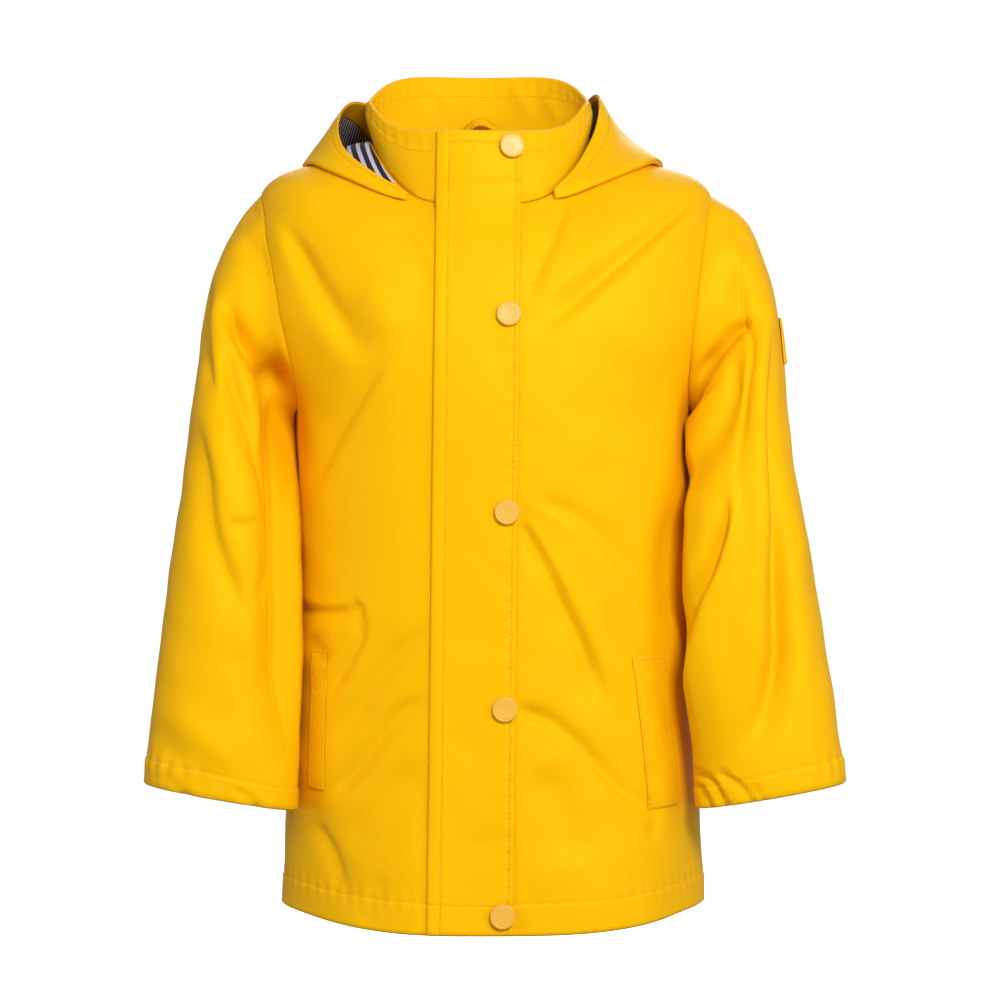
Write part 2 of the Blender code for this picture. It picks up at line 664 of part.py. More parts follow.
def build_snaps(collection):
    """Five round caps down the flap, each turned from one profile."""
    radius, height = SNAP_RADIUS, SNAP_HEIGHT
    profile = (
        (0.0, height * 0.92), (radius * 0.62, height), (radius * 0.90, height * 0.86),
        (radius, height * 0.45), (radius * 0.97, 0.0), (0.0, 0.0),
    )
    for number, place_height in enumerate(SNAP_HEIGHTS, start=1):
        place, normal = flap_place(place_height)
        name = f"snap_cap_{number}"
        mesh = bpy.data.meshes.new(name)
        edges = [(i, i + 1) for i in range(len(profile) - 1)]
        mesh.from_pydata([(x, 0.0, z) for x, z in profile], edges, [])
        cap = new_object(name, mesh, collection, "snap_plastic")
        turned = cap.modifiers.new("turned", "SCREW")
        turned.axis = "Z"
        turned.steps = SNAP_SIDES
        turned.render_steps = SNAP_SIDES
        turned.use_merge_vertices = True
        turned.merge_threshold = 0.00005
        cap.rotation_mode = "QUATERNION"
        up = bpy.data.objects[name].matrix_world.to_3x3().col[2].copy()
        cap.rotation_quaternion = up.rotation_difference(normal.tolist())
        cap.location = place + normal * (SEAM_GAP + 0.0001)


def build_pocket_welt(side, collection):
    """A welt on a front, made from the front's own points moved out."""
    welt = POCKET_WELTS[side]
    outward = 1.0 if side == "left" else -1.0
    layers = []
    for out in (WELT_CLEARANCE, WELT_CLEARANCE + WELT_CLOTH):
        grid = []
        for i in range(6):
            share = i / 5.0
            height = welt.top_z + (welt.bottom_z - welt.top_z) * share
            row = row_at_height(height)
            inner_x = welt.top_x + (welt.bottom_x - welt.top_x) * share
            turn = turn_at_x(BODY_NUMBERS, row, inner_x)
            line = []
            for j in range(4):
                line.append(body_point(turn, row, out))
                turn = turn_further(turn, row, outward * welt.width / 3.0)
            grid.append(line)
        layers.append(np.array(grid))
    cloth_wall("pocket_welt_" + side, layers[1], layers[0], collection)


def row_at_height(height):
    """The body row whose front quarter lies at a height."""
    low, high = HEM_ROW, NECK_ROW
    for _ in range(40):
        row = (low + high) / 2.0
        if body_base(40.0, row)[2] < height:
            low = row
        else:
            high = row
    return row


def turn_further(turn, row, distance):
    """The turn that lies a distance further round a body ring, outward if positive."""
    step = -0.25 if distance > 0.0 else 0.25
    gone = 0.0
    place = body_base(turn, row)
    while gone < abs(distance):
        turn += step
        following = body_base(turn, row)
        gone += np.linalg.norm(following - place)
        place = following
    return turn


def build_hood(collection):
    """The folded hood: two outer halves, their lining, and the facing round the brim."""
    right = list(HOOD_PLACES)
    left = [2.0 * HOOD_PLACES[-1] - place for place in reversed(HOOD_PLACES)]
    lining = (HOOD_CLOTH + SEAM_GAP, HOOD_CLOTH + SEAM_GAP + LINING_CLOTH)
    lined_steps = HOOD_PROFILE_STEPS[LINING_FIRST_STEP:FACING_FIRST_STEP + 1]
    lined = slice(LINED_FROM_PLACE, None), slice(None, -LINED_FROM_PLACE)
    for side, places, lined_places in (("right", right, lined[0]), ("left", left, lined[1])):
        outer, inner = hood_layers(places, HOOD_PROFILE_STEPS, (0.0, HOOD_CLOTH))
        trim_sides(outer.swapaxes(0, 1), inner.swapaxes(0, 1))
        cloth_wall("hood_" + side, outer, inner, collection)
        outer, inner = hood_layers(places[lined_places], lined_steps, lining)
        trim_edges(outer, inner)
        cloth_wall("hood_lining_" + side, outer, inner, collection, "striped_lining")
    places = (right + left[1:])[FACED_FROM_PLACE:-FACED_FROM_PLACE]
    outer, inner = hood_layers(places, HOOD_PROFILE_STEPS[FACING_FIRST_STEP:], lining)
    trim_edges(outer, inner)
    cloth_wall("hood_facing", outer, inner, collection)


def trim_edges(*grids):
    """Trim all four edges of a lining piece, which curls inside the hood."""
    for _ in range(3):
        trim_sides(*grids)
        trim_sides(*[grid.swapaxes(0, 1) for grid in grids])


def hood_layers(places, steps, depths):
    """Grids of the hood's cloth at several depths below its outer face."""
    points = [[hood_point(place, step) for step in steps] for place in places]
    inward = [[hood_inward(place, step) for step in steps] for place in places]
    points, inward = np.array(points), np.array(inward)
    return [points + inward * depth for depth in depths]


def build_hang_loop(collection):
    """A short strip inside the back of the collar, bowed to take a hook."""
    steps = 12
    faces = []
    for depth in (0.0, HANGER_THICKNESS):
        grid = []
        for i in range(steps + 1):
            share = 2.0 * i / steps - 1.0
            bow = math.cos(share * math.pi / 2.0) ** 1.2
            line = []
            for edge in (-0.5, 0.5):
                height = HANGER_RISE * bow + edge * HANGER_WIDTH
                line.append(hanger_place(share * HANGER_HALF_LENGTH, height, depth, bow))
            grid.append(line)
        faces.append(np.array(grid))
    cloth_wall("hang_loop", faces[0], faces[1], collection)


def hanger_place(x, height, depth, bow):
    """A point of the hanger strip: x across, height above its ends, depth forward."""
    low, high = 181.0, 359.0
    row = 0.30 + height / 0.022
    for _ in range(40):
        turn = (low + high) / 2.0
        if collar_base(turn, row)[0] < x + COLLAR_RINGS[0].shift:
            low = turn
        else:
            high = turn
    seat = collar_point(turn, row, -COLLAR_CLOTH - SEAM_GAP)
    return seat + np.array((0.0, -1.0, 0.0)) * (HANGER_BULGE * bow + depth)


def build_sleeve_tab(collection):
    """A plain tab on the outside of the left sleeve."""
    first, last = SLEEVE_TAB["around"]
    top, bottom = SLEEVE_TAB["along"]
    layers = []
    for out in (SEAM_GAP + 0.0003, SEAM_GAP + 0.0003 + TAB_CLOTH):
        layers.append([
            [
                sleeve_point("left", first + (last - first) * j / 4.0, top + (bottom - top) * i / 3.0, out)
                for j in range(5)
            ]
            for i in range(4)
        ])
    cloth_wall("sleeve_tab", layers[1], layers[0], collection)


def main():
    """Build the coat's pieces in one collection."""
    for old in list(bpy.data.objects):
        bpy.data.objects.remove(old)
    coat = bpy.data.collections.new(COAT_NAME)
    bpy.context.scene.collection.children.link(coat)
    build_body(coat)
    for side in ("left", "right"):
        build_sleeve(side, coat)
        build_pocket_welt(side, coat)
    build_collar(coat)
    build_flap(coat)
    build_snaps(coat)
    build_hood(coat)
    build_hang_loop(coat)
    build_sleeve_tab(coat)


main()
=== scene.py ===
"""A child's hooded raincoat, dressed over its solids: shells, creases, sewing and finishes.

Everything is in metres in the coat's own frame: +Z up, the front faces -Y and the wearer's
left is +X. Each cloth shell follows the same tables of rings as its solid, read much finer,
with its creases laid on as soft troughs and ridges. Turns are in degrees: 0 at the wearer's
left side, 90 at the front, 180 at the right side and 270 at the back.
"""

from __future__ import annotations

import logging
import math
from dataclasses import dataclass, field
from enum import Enum
from typing import Callable, Sequence

import bmesh
import bpy
import numpy as np
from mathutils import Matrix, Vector


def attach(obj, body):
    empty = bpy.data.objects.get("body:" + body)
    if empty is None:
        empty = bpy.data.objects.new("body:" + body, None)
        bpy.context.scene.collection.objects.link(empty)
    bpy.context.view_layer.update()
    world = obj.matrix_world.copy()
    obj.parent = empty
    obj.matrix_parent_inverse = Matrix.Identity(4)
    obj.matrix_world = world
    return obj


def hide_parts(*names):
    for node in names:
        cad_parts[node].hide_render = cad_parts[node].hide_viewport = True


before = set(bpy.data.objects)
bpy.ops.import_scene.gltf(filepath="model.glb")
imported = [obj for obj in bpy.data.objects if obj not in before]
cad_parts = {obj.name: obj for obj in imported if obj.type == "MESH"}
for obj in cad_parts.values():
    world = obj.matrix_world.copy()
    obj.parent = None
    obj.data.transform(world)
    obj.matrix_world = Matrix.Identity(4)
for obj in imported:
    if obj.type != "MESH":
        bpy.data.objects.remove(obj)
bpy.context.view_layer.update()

log = logging.getLogger("raincoat")

Grid = np.ndarray
Pair = tuple[float, float]

SEAM_GAP = 0.0003
ROOT_BODY = "root"
ROW_SAMPLES, TURN_HALVINGS = 600, 36


class Slot(Enum):
    """The record's material slots."""

    CLOTH = "coated_cloth"
    LINING = "striped_lining"
    SNAP = "snap_plastic"


class Held(Enum):
    HUNG = "hung"
    FOLDED = "folded"
    LAID = "laid"


class Side(Enum):
    """The wearer's left or right."""

    LEFT = "left"
    RIGHT = "right"

    def turn(self, forward: Grid) -> Grid:
        """The turn that lies forward degrees in front of this side of the body."""
        return forward if self is Side.LEFT else 180.0 - forward


# ---------------------------------------------------------------- numbers and curves

def smoothstep(value: Grid, low: float, high: float) -> Grid:
    """A soft step from 0 at low to 1 at high.

    Args:
        value: The numbers to step.
        low: Where the step starts.
        high: Where it ends.

    Returns:
        Numbers from 0 to 1.
    """
    t = np.clip((np.asarray(value, dtype=float) - low) / (high - low), 0.0, 1.0)
    return t * t * (3.0 - 2.0 * t)


def bump(distance: Grid, spread: Grid) -> Grid:
    """A soft bump of height 1 at distance 0."""
    return np.exp(-((distance / spread) ** 2))


def unit(vectors: Grid) -> Grid:
    """Vectors at length one."""
    length = np.linalg.norm(vectors, axis=-1, keepdims=True)
    return vectors / np.maximum(length, 1e-12)


def smooth_through(rows: Grid, at: Grid) -> Grid:
    """A Catmull-Rom curve through rows of numbers, read at fractional rows.

    Args:
        rows: The rows, with any shape after the first axis.
        at: The fractional rows to read.

    Returns:
        One set of numbers for each entry of at.
    """
    at = np.asarray(at, dtype=float)
    last = len(rows) - 1
    i = np.clip(np.floor(at).astype(int), 0, last - 1)
    t = (at - i).reshape(at.shape + (1,) * (rows.ndim - 1))
    ends = (2.0 * rows[0] - rows[1])[None], (2.0 * rows[-1] - rows[-2])[None]
    padded = np.concatenate((ends[0], rows, ends[1]))
    before, a, b, after = (padded[i + k] for k in range(4))
    slope_a, slope_b = (b - before) / 2.0, (after - a) / 2.0
    return (
        a * (2 * t**3 - 3 * t**2 + 1) + b * (3 * t**2 - 2 * t**3)
        + slope_a * (t**3 - 2 * t**2 + t) + slope_b * (t**3 - t**2)
    )


def lengths(grid: Grid) -> tuple[Grid, Grid]:
    """How far each point of a grid lies along its row and down its column.

    Args:
        grid: Points in rows and columns.

    Returns:
        Two arrays in metres, across and along.
    """
    across = np.zeros(grid.shape[:2])
    along = np.zeros(grid.shape[:2])
    across[:, 1:] = np.cumsum(np.linalg.norm(np.diff(grid, axis=1), axis=-1), axis=1)
    along[1:] = np.cumsum(np.linalg.norm(np.diff(grid, axis=0), axis=-1), axis=0)
    return across, along


def with_dense(values: Grid, places: Sequence[float], half: float, count: int = 4) -> Grid:
    """Values with extra ones packed round some places, in order.

    Args:
        values: The plain spacing.
        places: Where to pack more values; each is itself among the result.
        half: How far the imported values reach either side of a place.
        count: How many there are on each side of a place.

    Returns:
        The sorted values.
    """
    kept = [value for value in values if all(abs(value - p) > half * 1.15 for p in places)]
    kept += [values[0], values[-1]]
    steps = np.linspace(-half, half, 2 * count + 1)
    for place in places:
        kept += [p for p in place + steps if values[0] <= p <= values[-1]]
    return np.unique(np.round(kept, 9))


# ---------------------------------------------------------------- creases

@dataclass(frozen=True)
class Fold:
    """A large fold of the solid, as a line seen from the front or the back.

    It is a trough where its depth is negative, and spread is its half width.
    """

    x0: float
    z0: float
    x1: float
    z1: float
    spread: float
    depth: float

    def lift(self, x: Grid, z: Grid) -> Grid:
        """How far this fold moves the cloth at places seen from the front.

        Args:
            x: Their x.
            z: Their z.

        Returns:
            The move along the cloth's normal.
        """
        line = np.array((self.x1 - self.x0, self.z1 - self.z0))
        along = ((x - self.x0) * line[0] + (z - self.z0) * line[1]) / (line @ line)
        along = np.clip(along, 0.0, 1.0)
        away = np.hypot(x - self.x0 - line[0] * along, z - self.z0 - line[1] * along)
        return self.depth * bump(away, self.spread)


# a crease reaches this many spreads, is drawn in this many steps between two knots, and
# fades in and out over these shares of its length; its lip's ridge lies beside the trough
CREASE_REACH, CREASE_STEPS, STEEP_SIDE = 4.0, 16, 0.5
FADE_IN, FADE_OUT = (-0.02, 0.28), (0.70, 1.02)
RIDGE_AWAY, RIDGE_SPREAD = 1.15, 0.75


@dataclass(frozen=True)
class Crease:
    """A crease on the cloth, as a curved line seen from the front or back.

    Depth is negative in a trough. The spread runs from its first to its last value along
    the line, and lip is a ridge beside it, as a share of its depth, on the line's left
    where positive and on its right where negative. A trough is steeper on its lip's side.
    """

    line: tuple[Pair, ...]
    spread: Pair
    depth: float
    lip: float = 0.0
    blunt_start: bool = False
    blunt_end: bool = False

    def lift(self, x: Grid, z: Grid) -> Grid:
        """How far this crease moves the cloth at places seen from the front.

        Args:
            x: Places across.
            z: Heights.

        Returns:
            The move along the cloth's normal, in metres.
        """
        reach = CREASE_REACH * max(self.spread)
        knots = np.array(self.line)
        low, high = knots.min(axis=0) - reach, knots.max(axis=0) + reach
        near = (x > low[0]) & (x < high[0]) & (z > low[1]) & (z < high[1])
        moved = np.zeros(np.shape(x))
        if not near.any():
            return moved
        count = CREASE_STEPS * (len(knots) - 1) + 1
        at = np.linspace(0.0, len(knots) - 1.0, count)
        path = smooth_through(knots, at)
        places = np.stack((x[near], z[near]), axis=-1)
        offsets = places[:, None, :] - path[None, :, :]
        squares = (offsets**2).sum(axis=-1)
        nearest = squares.argmin(axis=1)
        rows = np.arange(len(places))
        away = np.sqrt(squares[rows, nearest])
        ahead = unit(np.gradient(path, axis=0))[nearest]
        offset = offsets[rows, nearest]
        left = ahead[:, 0] * offset[:, 1] - ahead[:, 1] * offset[:, 0]
        share = nearest / (count - 1.0)
        spread = self.spread[0] + (self.spread[1] - self.spread[0]) * share
        fade = np.ones(len(places))
        if not self.blunt_start:
            fade *= smoothstep(share, *FADE_IN)
        if not self.blunt_end:
            fade *= 1.0 - smoothstep(share, *FADE_OUT)
        if not self.lip:
            moved[near] = self.depth * fade * bump(away, spread)
            return moved
        towards = left * math.copysign(1.0, self.lip)
        trough = bump(away, spread * (1.0 - STEEP_SIDE * smoothstep(towards / spread, -0.25, 0.25)))
        past_end = np.sqrt(np.maximum(away**2 - left**2, 0.0))
        ridge = bump(towards - RIDGE_AWAY * spread, RIDGE_SPREAD * spread) * bump(past_end, spread)
        moved[near] = self.depth * fade * (trough - abs(self.lip) * ridge)
        return moved


def creases(*rows: tuple) -> tuple[Crease, ...]:
    """Creases from a table.

    Args:
        rows: For each crease its points, its spread at both ends and its depth, in
            millimetres, and then its lip, blunt_start and blunt_end where it has them.

    Returns:
        The creases, in metres.
    """
    return tuple(
        Crease(
            tuple((x / 1000.0, z / 1000.0) for x, z in line),
            (spread[0] / 1000.0, spread[1] / 1000.0), depth / 1000.0, *rest,
        )
        for line, spread, depth, *rest in rows
    )


def relief(parts: Sequence[Fold | Crease], x: Grid, z: Grid) -> Grid:
    """The sum of many folds or creases at places seen from the front or back."""
    return sum((part.lift(x, z) for part in parts), np.zeros(np.shape(x)))


def undulation(points: Grid, size: float) -> Grid:
    """The cloth's slight unevenness, as slow waves in several directions.

    Args:
        points: Places in the coat's frame.
        size: How high the waves are, in metres.

    Returns:
        The move along the normal at each place.
    """
    x, y, z = np.moveaxis(points, -1, 0)
    waves = (
        np.sin(71.0 * x + 38.0 * z + 1.3) * np.sin(29.0 * z - 44.0 * x + 17.0 * y)
        + 0.7 * np.sin(127.0 * x - 61.0 * z + 55.0 * y) * np.sin(49.0 * z + 2.1)
        + 0.5 * np.sin(173.0 * z + 97.0 * x + 1.9 * np.sin(57.0 * x)) * np.sin(83.0 * y + 31.0 * x)
    )
    return size * waves


@dataclass(frozen=True)
class Groove:
    """A soft dip along a seam or a row of stitches."""

    depth: float
    width: float

    def dip(self, away: Grid) -> Grid:
        """How deep it is at distances from its middle."""
        return self.depth * bump(away, self.width)


@dataclass(frozen=True)
class Puckers:
    """Uneven waves beside a row of stitches.

    Their pitch is uneven by drift, which comes and goes along the row at its rate.
    """

    height: float
    pitch: float
    reach: float
    drift: float
    rate: float

    def lift(self, gone: Grid, away: Grid) -> Grid:
        """How far they move the cloth.

        Args:
            gone: Distances along the row, in metres.
            away: Distances from the row.

        Returns:
            The move along the cloth's normal.
        """
        waves = np.sin(gone * math.tau / self.pitch + self.drift * np.sin(gone * self.rate))
        return self.height * waves * bump(away, self.reach)


# ---------------------------------------------------------------- the coat's surfaces

# how far apart, in rings and in degrees, a surface is read to find its normals
PROBE_ROWS, PROBE_TURNS = 0.02, 0.5


class RingSurface:
    """A surface through rings round the body, each a squared oval that turns up at its sides.

    A ring's numbers are half_width, front, back, side_z, front_z, back_z, square, rise and
    shift, as in the solids' own tables.
    """

    def __init__(self, rings: Sequence[Sequence[float]]) -> None:
        """Keep the rings, from the lowest up."""
        self.numbers = np.array(rings)
        self.last_row = len(rings) - 1.0

    def base(self, turn: Grid, row: Grid) -> Grid:
        """The surface's points before any fold.

        Args:
            turn: Degrees round the body.
            row: Fractional rings.

        Returns:
            Points, with x, y and z last.
        """
        turn, row = np.broadcast_arrays(np.asarray(turn, float), np.asarray(row, float))
        numbers = np.moveaxis(smooth_through(self.numbers, row), -1, 0)
        half_width, front, back, side_z, front_z, back_z, square, rise, shift = numbers
        c, s = np.cos(np.radians(turn)), np.sin(np.radians(turn))
        scale = (np.abs(c) ** square + np.abs(s) ** square) ** (-1.0 / square)
        ahead = s > 0.0
        reach = np.where(ahead, -front, -back)
        far_z = np.where(ahead, front_z, back_z)
        height = far_z + (side_z - far_z) * np.abs(c * scale) ** rise
        return np.stack((shift + half_width * c * scale, reach * s * scale, height), axis=-1)

    def normal(self, turn: Grid, row: Grid) -> Grid:
        """The outward normals of the plain surface.

        Args:
            turn: Turns round the rings, in degrees.
            row: Fractional rows.

        Returns:
            Unit normals.
        """
        row = np.clip(row, PROBE_ROWS, self.last_row - PROBE_ROWS)
        across = self.base(turn + PROBE_TURNS, row) - self.base(turn - PROBE_TURNS, row)
        up = self.base(turn, row + PROBE_ROWS) - self.base(turn, row - PROBE_ROWS)
        return unit(np.cross(up, across))

    def lift(self, turn: Grid, row: Grid, base: Grid) -> Grid:
        """How far the large folds move the surface; none on a plain one."""
        return np.zeros(base.shape[:-1])

    def point(self, turn: Grid, row: Grid, out: Grid = 0.0) -> Grid:
        """Points of the folded surface, moved out along the normal.

        Args:
            turn: Turns round the rings, in degrees.
            row: Fractional rows.
            out: How far out, in metres.

        Returns:
            The points.
        """
        turn, row = np.broadcast_arrays(np.asarray(turn, float), np.asarray(row, float))
        base = self.base(turn, row)
        moved = self.lift(turn, row, base) + out
        return base + self.normal(turn, row) * moved[..., None]

    def turn_at_x(self, row: Grid, x: Grid) -> Grid:
        """The turns on the front half at which the surface has these x.

        Args:
            row: Fractional rows.
            x: The x wanted at each.

        Returns:
            The turns, in degrees.
        """
        row, x = np.broadcast_arrays(np.asarray(row, float), np.asarray(x, float))
        low, high = np.full(row.shape, 1.0), np.full(row.shape, 179.0)
        for _ in range(TURN_HALVINGS):
            middle = (low + high) / 2.0
            beyond = self.base(middle, row)[..., 0] > x
            low, high = np.where(beyond, middle, low), np.where(beyond, high, middle)
        return (low + high) / 2.0

    def row_at(self, turn: float, distance: float, start: float = 0.0) -> float:
        """The row that lies a distance up the surface from a starting row.

        Args:
            turn: Where on the surface to measure.
            distance: How far to go, in metres; negative goes down.
            start: The row to start from.

        Returns:
            The row reached.
        """
        end = self.last_row if distance > 0.0 else 0.0
        rows = np.linspace(start, end, ROW_SAMPLES)
        gone = lengths(self.base(np.full(ROW_SAMPLES, turn), rows)[:, None, :])[1][:, 0]
        return float(np.interp(abs(distance), gone, rows))


HEM_ROW, ARMPIT_ROW, TIP_ROW, NECK_ROW = 0.0, 4.0, 6.0, 8.0
ARMHOLE_MIDDLE, ARMHOLE_HALF = (ARMPIT_ROW + TIP_ROW) / 2.0, (TIP_ROW - ARMPIT_ROW) / 2.0
NECK_RING = (0.0700, 0.064, 0.052, 0.030, -0.0135, 0.034, 2.1, 4.0, -0.0085)
BODY_RINGS = (
    (0.1345, 0.104, 0.108, -0.459, -0.473, -0.470, 2.6, 2.8, -0.0008),
    (0.1325, 0.100, 0.105, -0.380, -0.389, -0.387, 2.6, 2.4, -0.0012),
    (0.1298, 0.097, 0.101, -0.300, -0.306, -0.304, 2.6, 2.0, -0.0004),
    (0.1290, 0.095, 0.099, -0.220, -0.226, -0.224, 2.6, 2.0, 0.0),
    (0.1270, 0.094, 0.098, -0.143, -0.158, -0.156, 2.6, 2.0, -0.0005),
    (0.1460, 0.092, 0.098, -0.070, -0.108, -0.100, 2.6, 2.0, -0.0030),
    (0.1415, 0.086, 0.093, -0.004, -0.068, -0.050, 2.5, 2.0, -0.0050),
    (0.1050, 0.077, 0.074, 0.016, -0.039, -0.006, 2.3, 2.6, -0.0075),
    NECK_RING,
)
COLLAR_RINGS = (
    NECK_RING,
    (0.0735, 0.0630, 0.060, 0.0465, 0.0105, 0.056, 2.1, 5.0, -0.0095),
    (0.0725, 0.0600, 0.066, 0.0590, 0.0325, 0.0785, 2.15, 6.0, -0.0100),
)
FRONT_FOLDS = (
    Fold(-0.132, -0.020, -0.084, -0.099, 0.016, -0.0045),
    Fold(-0.066, -0.300, -0.092, -0.372, 0.014, -0.0035),
    Fold(-0.112, -0.400, -0.094, -0.450, 0.012, -0.0040),
    Fold(0.045, -0.015, 0.024, -0.066, 0.013, -0.0035),
    Fold(0.126, -0.006, 0.074, -0.062, 0.016, -0.0045),
    Fold(0.026, -0.220, 0.061, -0.316, 0.015, -0.0040),
    Fold(0.061, -0.316, 0.084, -0.362, 0.014, -0.0045),
    Fold(0.030, -0.340, 0.076, -0.378, 0.013, -0.0035),
)
BACK_FOLDS = (
    Fold(-0.105, -0.115, -0.060, -0.235, 0.018, -0.0050),
    Fold(0.102, -0.120, 0.066, -0.215, 0.017, -0.0045),
    Fold(-0.050, -0.250, -0.078, -0.430, 0.018, -0.0045),
    Fold(0.020, -0.230, 0.012, -0.440, 0.020, -0.0035),
    Fold(0.082, -0.290, 0.092, -0.450, 0.017, -0.0045),
)
FOLD_SHARE = 0.4
HEM_WAVE_COUNT, HEM_WAVE_DEPTH, HEM_WAVE_ROWS, HEM_WAVE_PHASE = 7, 0.0022, 1.2, 0.6


class BodySurface(RingSurface):
    """The body from hem to neck, with the solid's large folds and its hem's waves."""

    def lift(self, turn: Grid, row: Grid, base: Grid) -> Grid:
        """How far the large folds and the hem's waves move the surface.

        Args:
            turn: Turns round the rings, in degrees.
            row: Fractional rows.
            base: Points of the plain surface there.

        Returns:
            The moves along the normal.
        """
        facing = np.sin(np.radians(turn))
        x, z = base[..., 0], base[..., 2]
        folds = np.where(facing > 0.0, relief(FRONT_FOLDS, x, z), relief(BACK_FOLDS, x, z))
        folds = FOLD_SHARE * folds * smoothstep(np.abs(facing), 0.10, 0.40)
        waves = np.sin(HEM_WAVE_COUNT * np.radians(turn) + HEM_WAVE_PHASE)
        low = 1.0 - smoothstep(row, HEM_ROW, HEM_WAVE_ROWS)
        return folds + HEM_WAVE_DEPTH * waves * low


BODY = BodySurface(BODY_RINGS)
COLLAR = RingSurface(COLLAR_RINGS)

# degrees forward of the body's side, at the hem and at the armpit
SIDE_SEAM_FORWARD = {Side.LEFT: (3.0, 3.0), Side.RIGHT: (17.0, 6.0)}
ARMHOLE_FRONT, ARMHOLE_BACK = 30.0, 27.0
FLAP_WIDTH, FLAP_CENTRE_AT_NECK, FLAP_SLANT, FLAP_TURN = 0.0530, -0.0098, 0.0110, 92.0


def flap_centre(surface: RingSurface, row: Grid) -> Grid:
    """The x of the flap's middle line at rows of a surface."""
    return FLAP_CENTRE_AT_NECK + FLAP_SLANT * surface.base(FLAP_TURN, row)[..., 2]


def side_seam(side: Side, row: Grid) -> Grid:
    """How far the side or shoulder seam lies forward of the body's side, in degrees.

    Args:
        side: The side.
        row: Rows of the body.

    Returns:
        Degrees forward at each row.
    """
    hem, armpit = SIDE_SEAM_FORWARD[side]
    row = np.asarray(row, float)
    below = hem + (armpit - hem) * row / ARMPIT_ROW
    above = armpit * np.maximum(0.0, (TIP_ROW - row) / (TIP_ROW - ARMPIT_ROW))
    return np.where(row <= ARMPIT_ROW, below, above)


def armhole_opening(row: Grid) -> Grid:
    """How wide the armhole stands open at a row, from 0 at its ends to 1."""
    away = (np.asarray(row, float) - ARMHOLE_MIDDLE) / ARMHOLE_HALF
    return np.sqrt(np.maximum(0.0, 1.0 - away**2))


def front_edge(side: Side) -> Callable[[Grid], Grid]:
    """The turns of a front panel's outer edge, by row."""
    return lambda row: side.turn(side_seam(side, row) + ARMHOLE_FRONT * armhole_opening(row))


def back_edge(side: Side) -> Callable[[Grid], Grid]:
    """The turns of the back panel's edge, by row.

    Args:
        side: The side.

    Returns:
        A function from rows to turns.
    """
    start, sign = (360.0, 1.0) if side is Side.LEFT else (180.0, -1.0)

    def edge(row: Grid) -> Grid:
        """The turn of the edge at a row."""
        forward = side_seam(side, row) - ARMHOLE_BACK * armhole_opening(row)
        return start + sign * forward

    return edge


def front_middle(row: Grid) -> Grid:
    """The turns at which the two fronts meet, under the flap."""
    return BODY.turn_at_x(row, flap_centre(BODY, row))


SLEEVE_SQUARE = 2.3
# outer_x, outer_z, inner_x, inner_z, middle_y, depth
SLEEVE_RINGS = {
    Side.RIGHT: (
        (-0.1665, -0.0220, -0.1300, -0.152, -0.003, 0.0500),
        (-0.1800, -0.0530, -0.1305, -0.163, -0.009, 0.0505),
        (-0.1875, -0.0910, -0.1295, -0.180, -0.023, 0.0490),
        (-0.1960, -0.1690, -0.1255, -0.220, -0.048, 0.0445),
        (-0.2085, -0.2665, -0.1238, -0.305, -0.060, 0.0405),
        (-0.2215, -0.3795, -0.1240, -0.3965, -0.065, 0.0380),
    ),
    Side.LEFT: (
        (0.1640, -0.0220, 0.1290, -0.152, -0.003, 0.0500),
        (0.1785, -0.0580, 0.1292, -0.163, -0.011, 0.0505),
        (0.1850, -0.0950, 0.1285, -0.180, -0.026, 0.0490),
        (0.1905, -0.1690, 0.1258, -0.222, -0.051, 0.0445),
        (0.2060, -0.2665, 0.1235, -0.305, -0.062, 0.0400),
        (0.2225, -0.3785, 0.1280, -0.3950, -0.067, 0.0380),
    ),
}
SLEEVE_FOLDS = {
    Side.RIGHT: (
        Fold(-0.168, -0.077, -0.126, -0.140, 0.010, -0.0065),
        Fold(-0.176, -0.080, -0.160, -0.150, 0.011, 0.0030),
        Fold(-0.158, -0.030, -0.138, -0.066, 0.011, -0.0030),
        Fold(-0.150, -0.230, -0.172, -0.330, 0.014, -0.0030),
    ),
    Side.LEFT: (
        Fold(0.160, -0.086, 0.126, -0.130, 0.010, -0.0060),
        Fold(0.163, -0.043, 0.160, -0.110, 0.011, -0.0030),
        Fold(0.172, -0.310, 0.148, -0.368, 0.013, -0.0035),
        Fold(0.180, -0.180, 0.168, -0.260, 0.013, -0.0025),
    ),
}


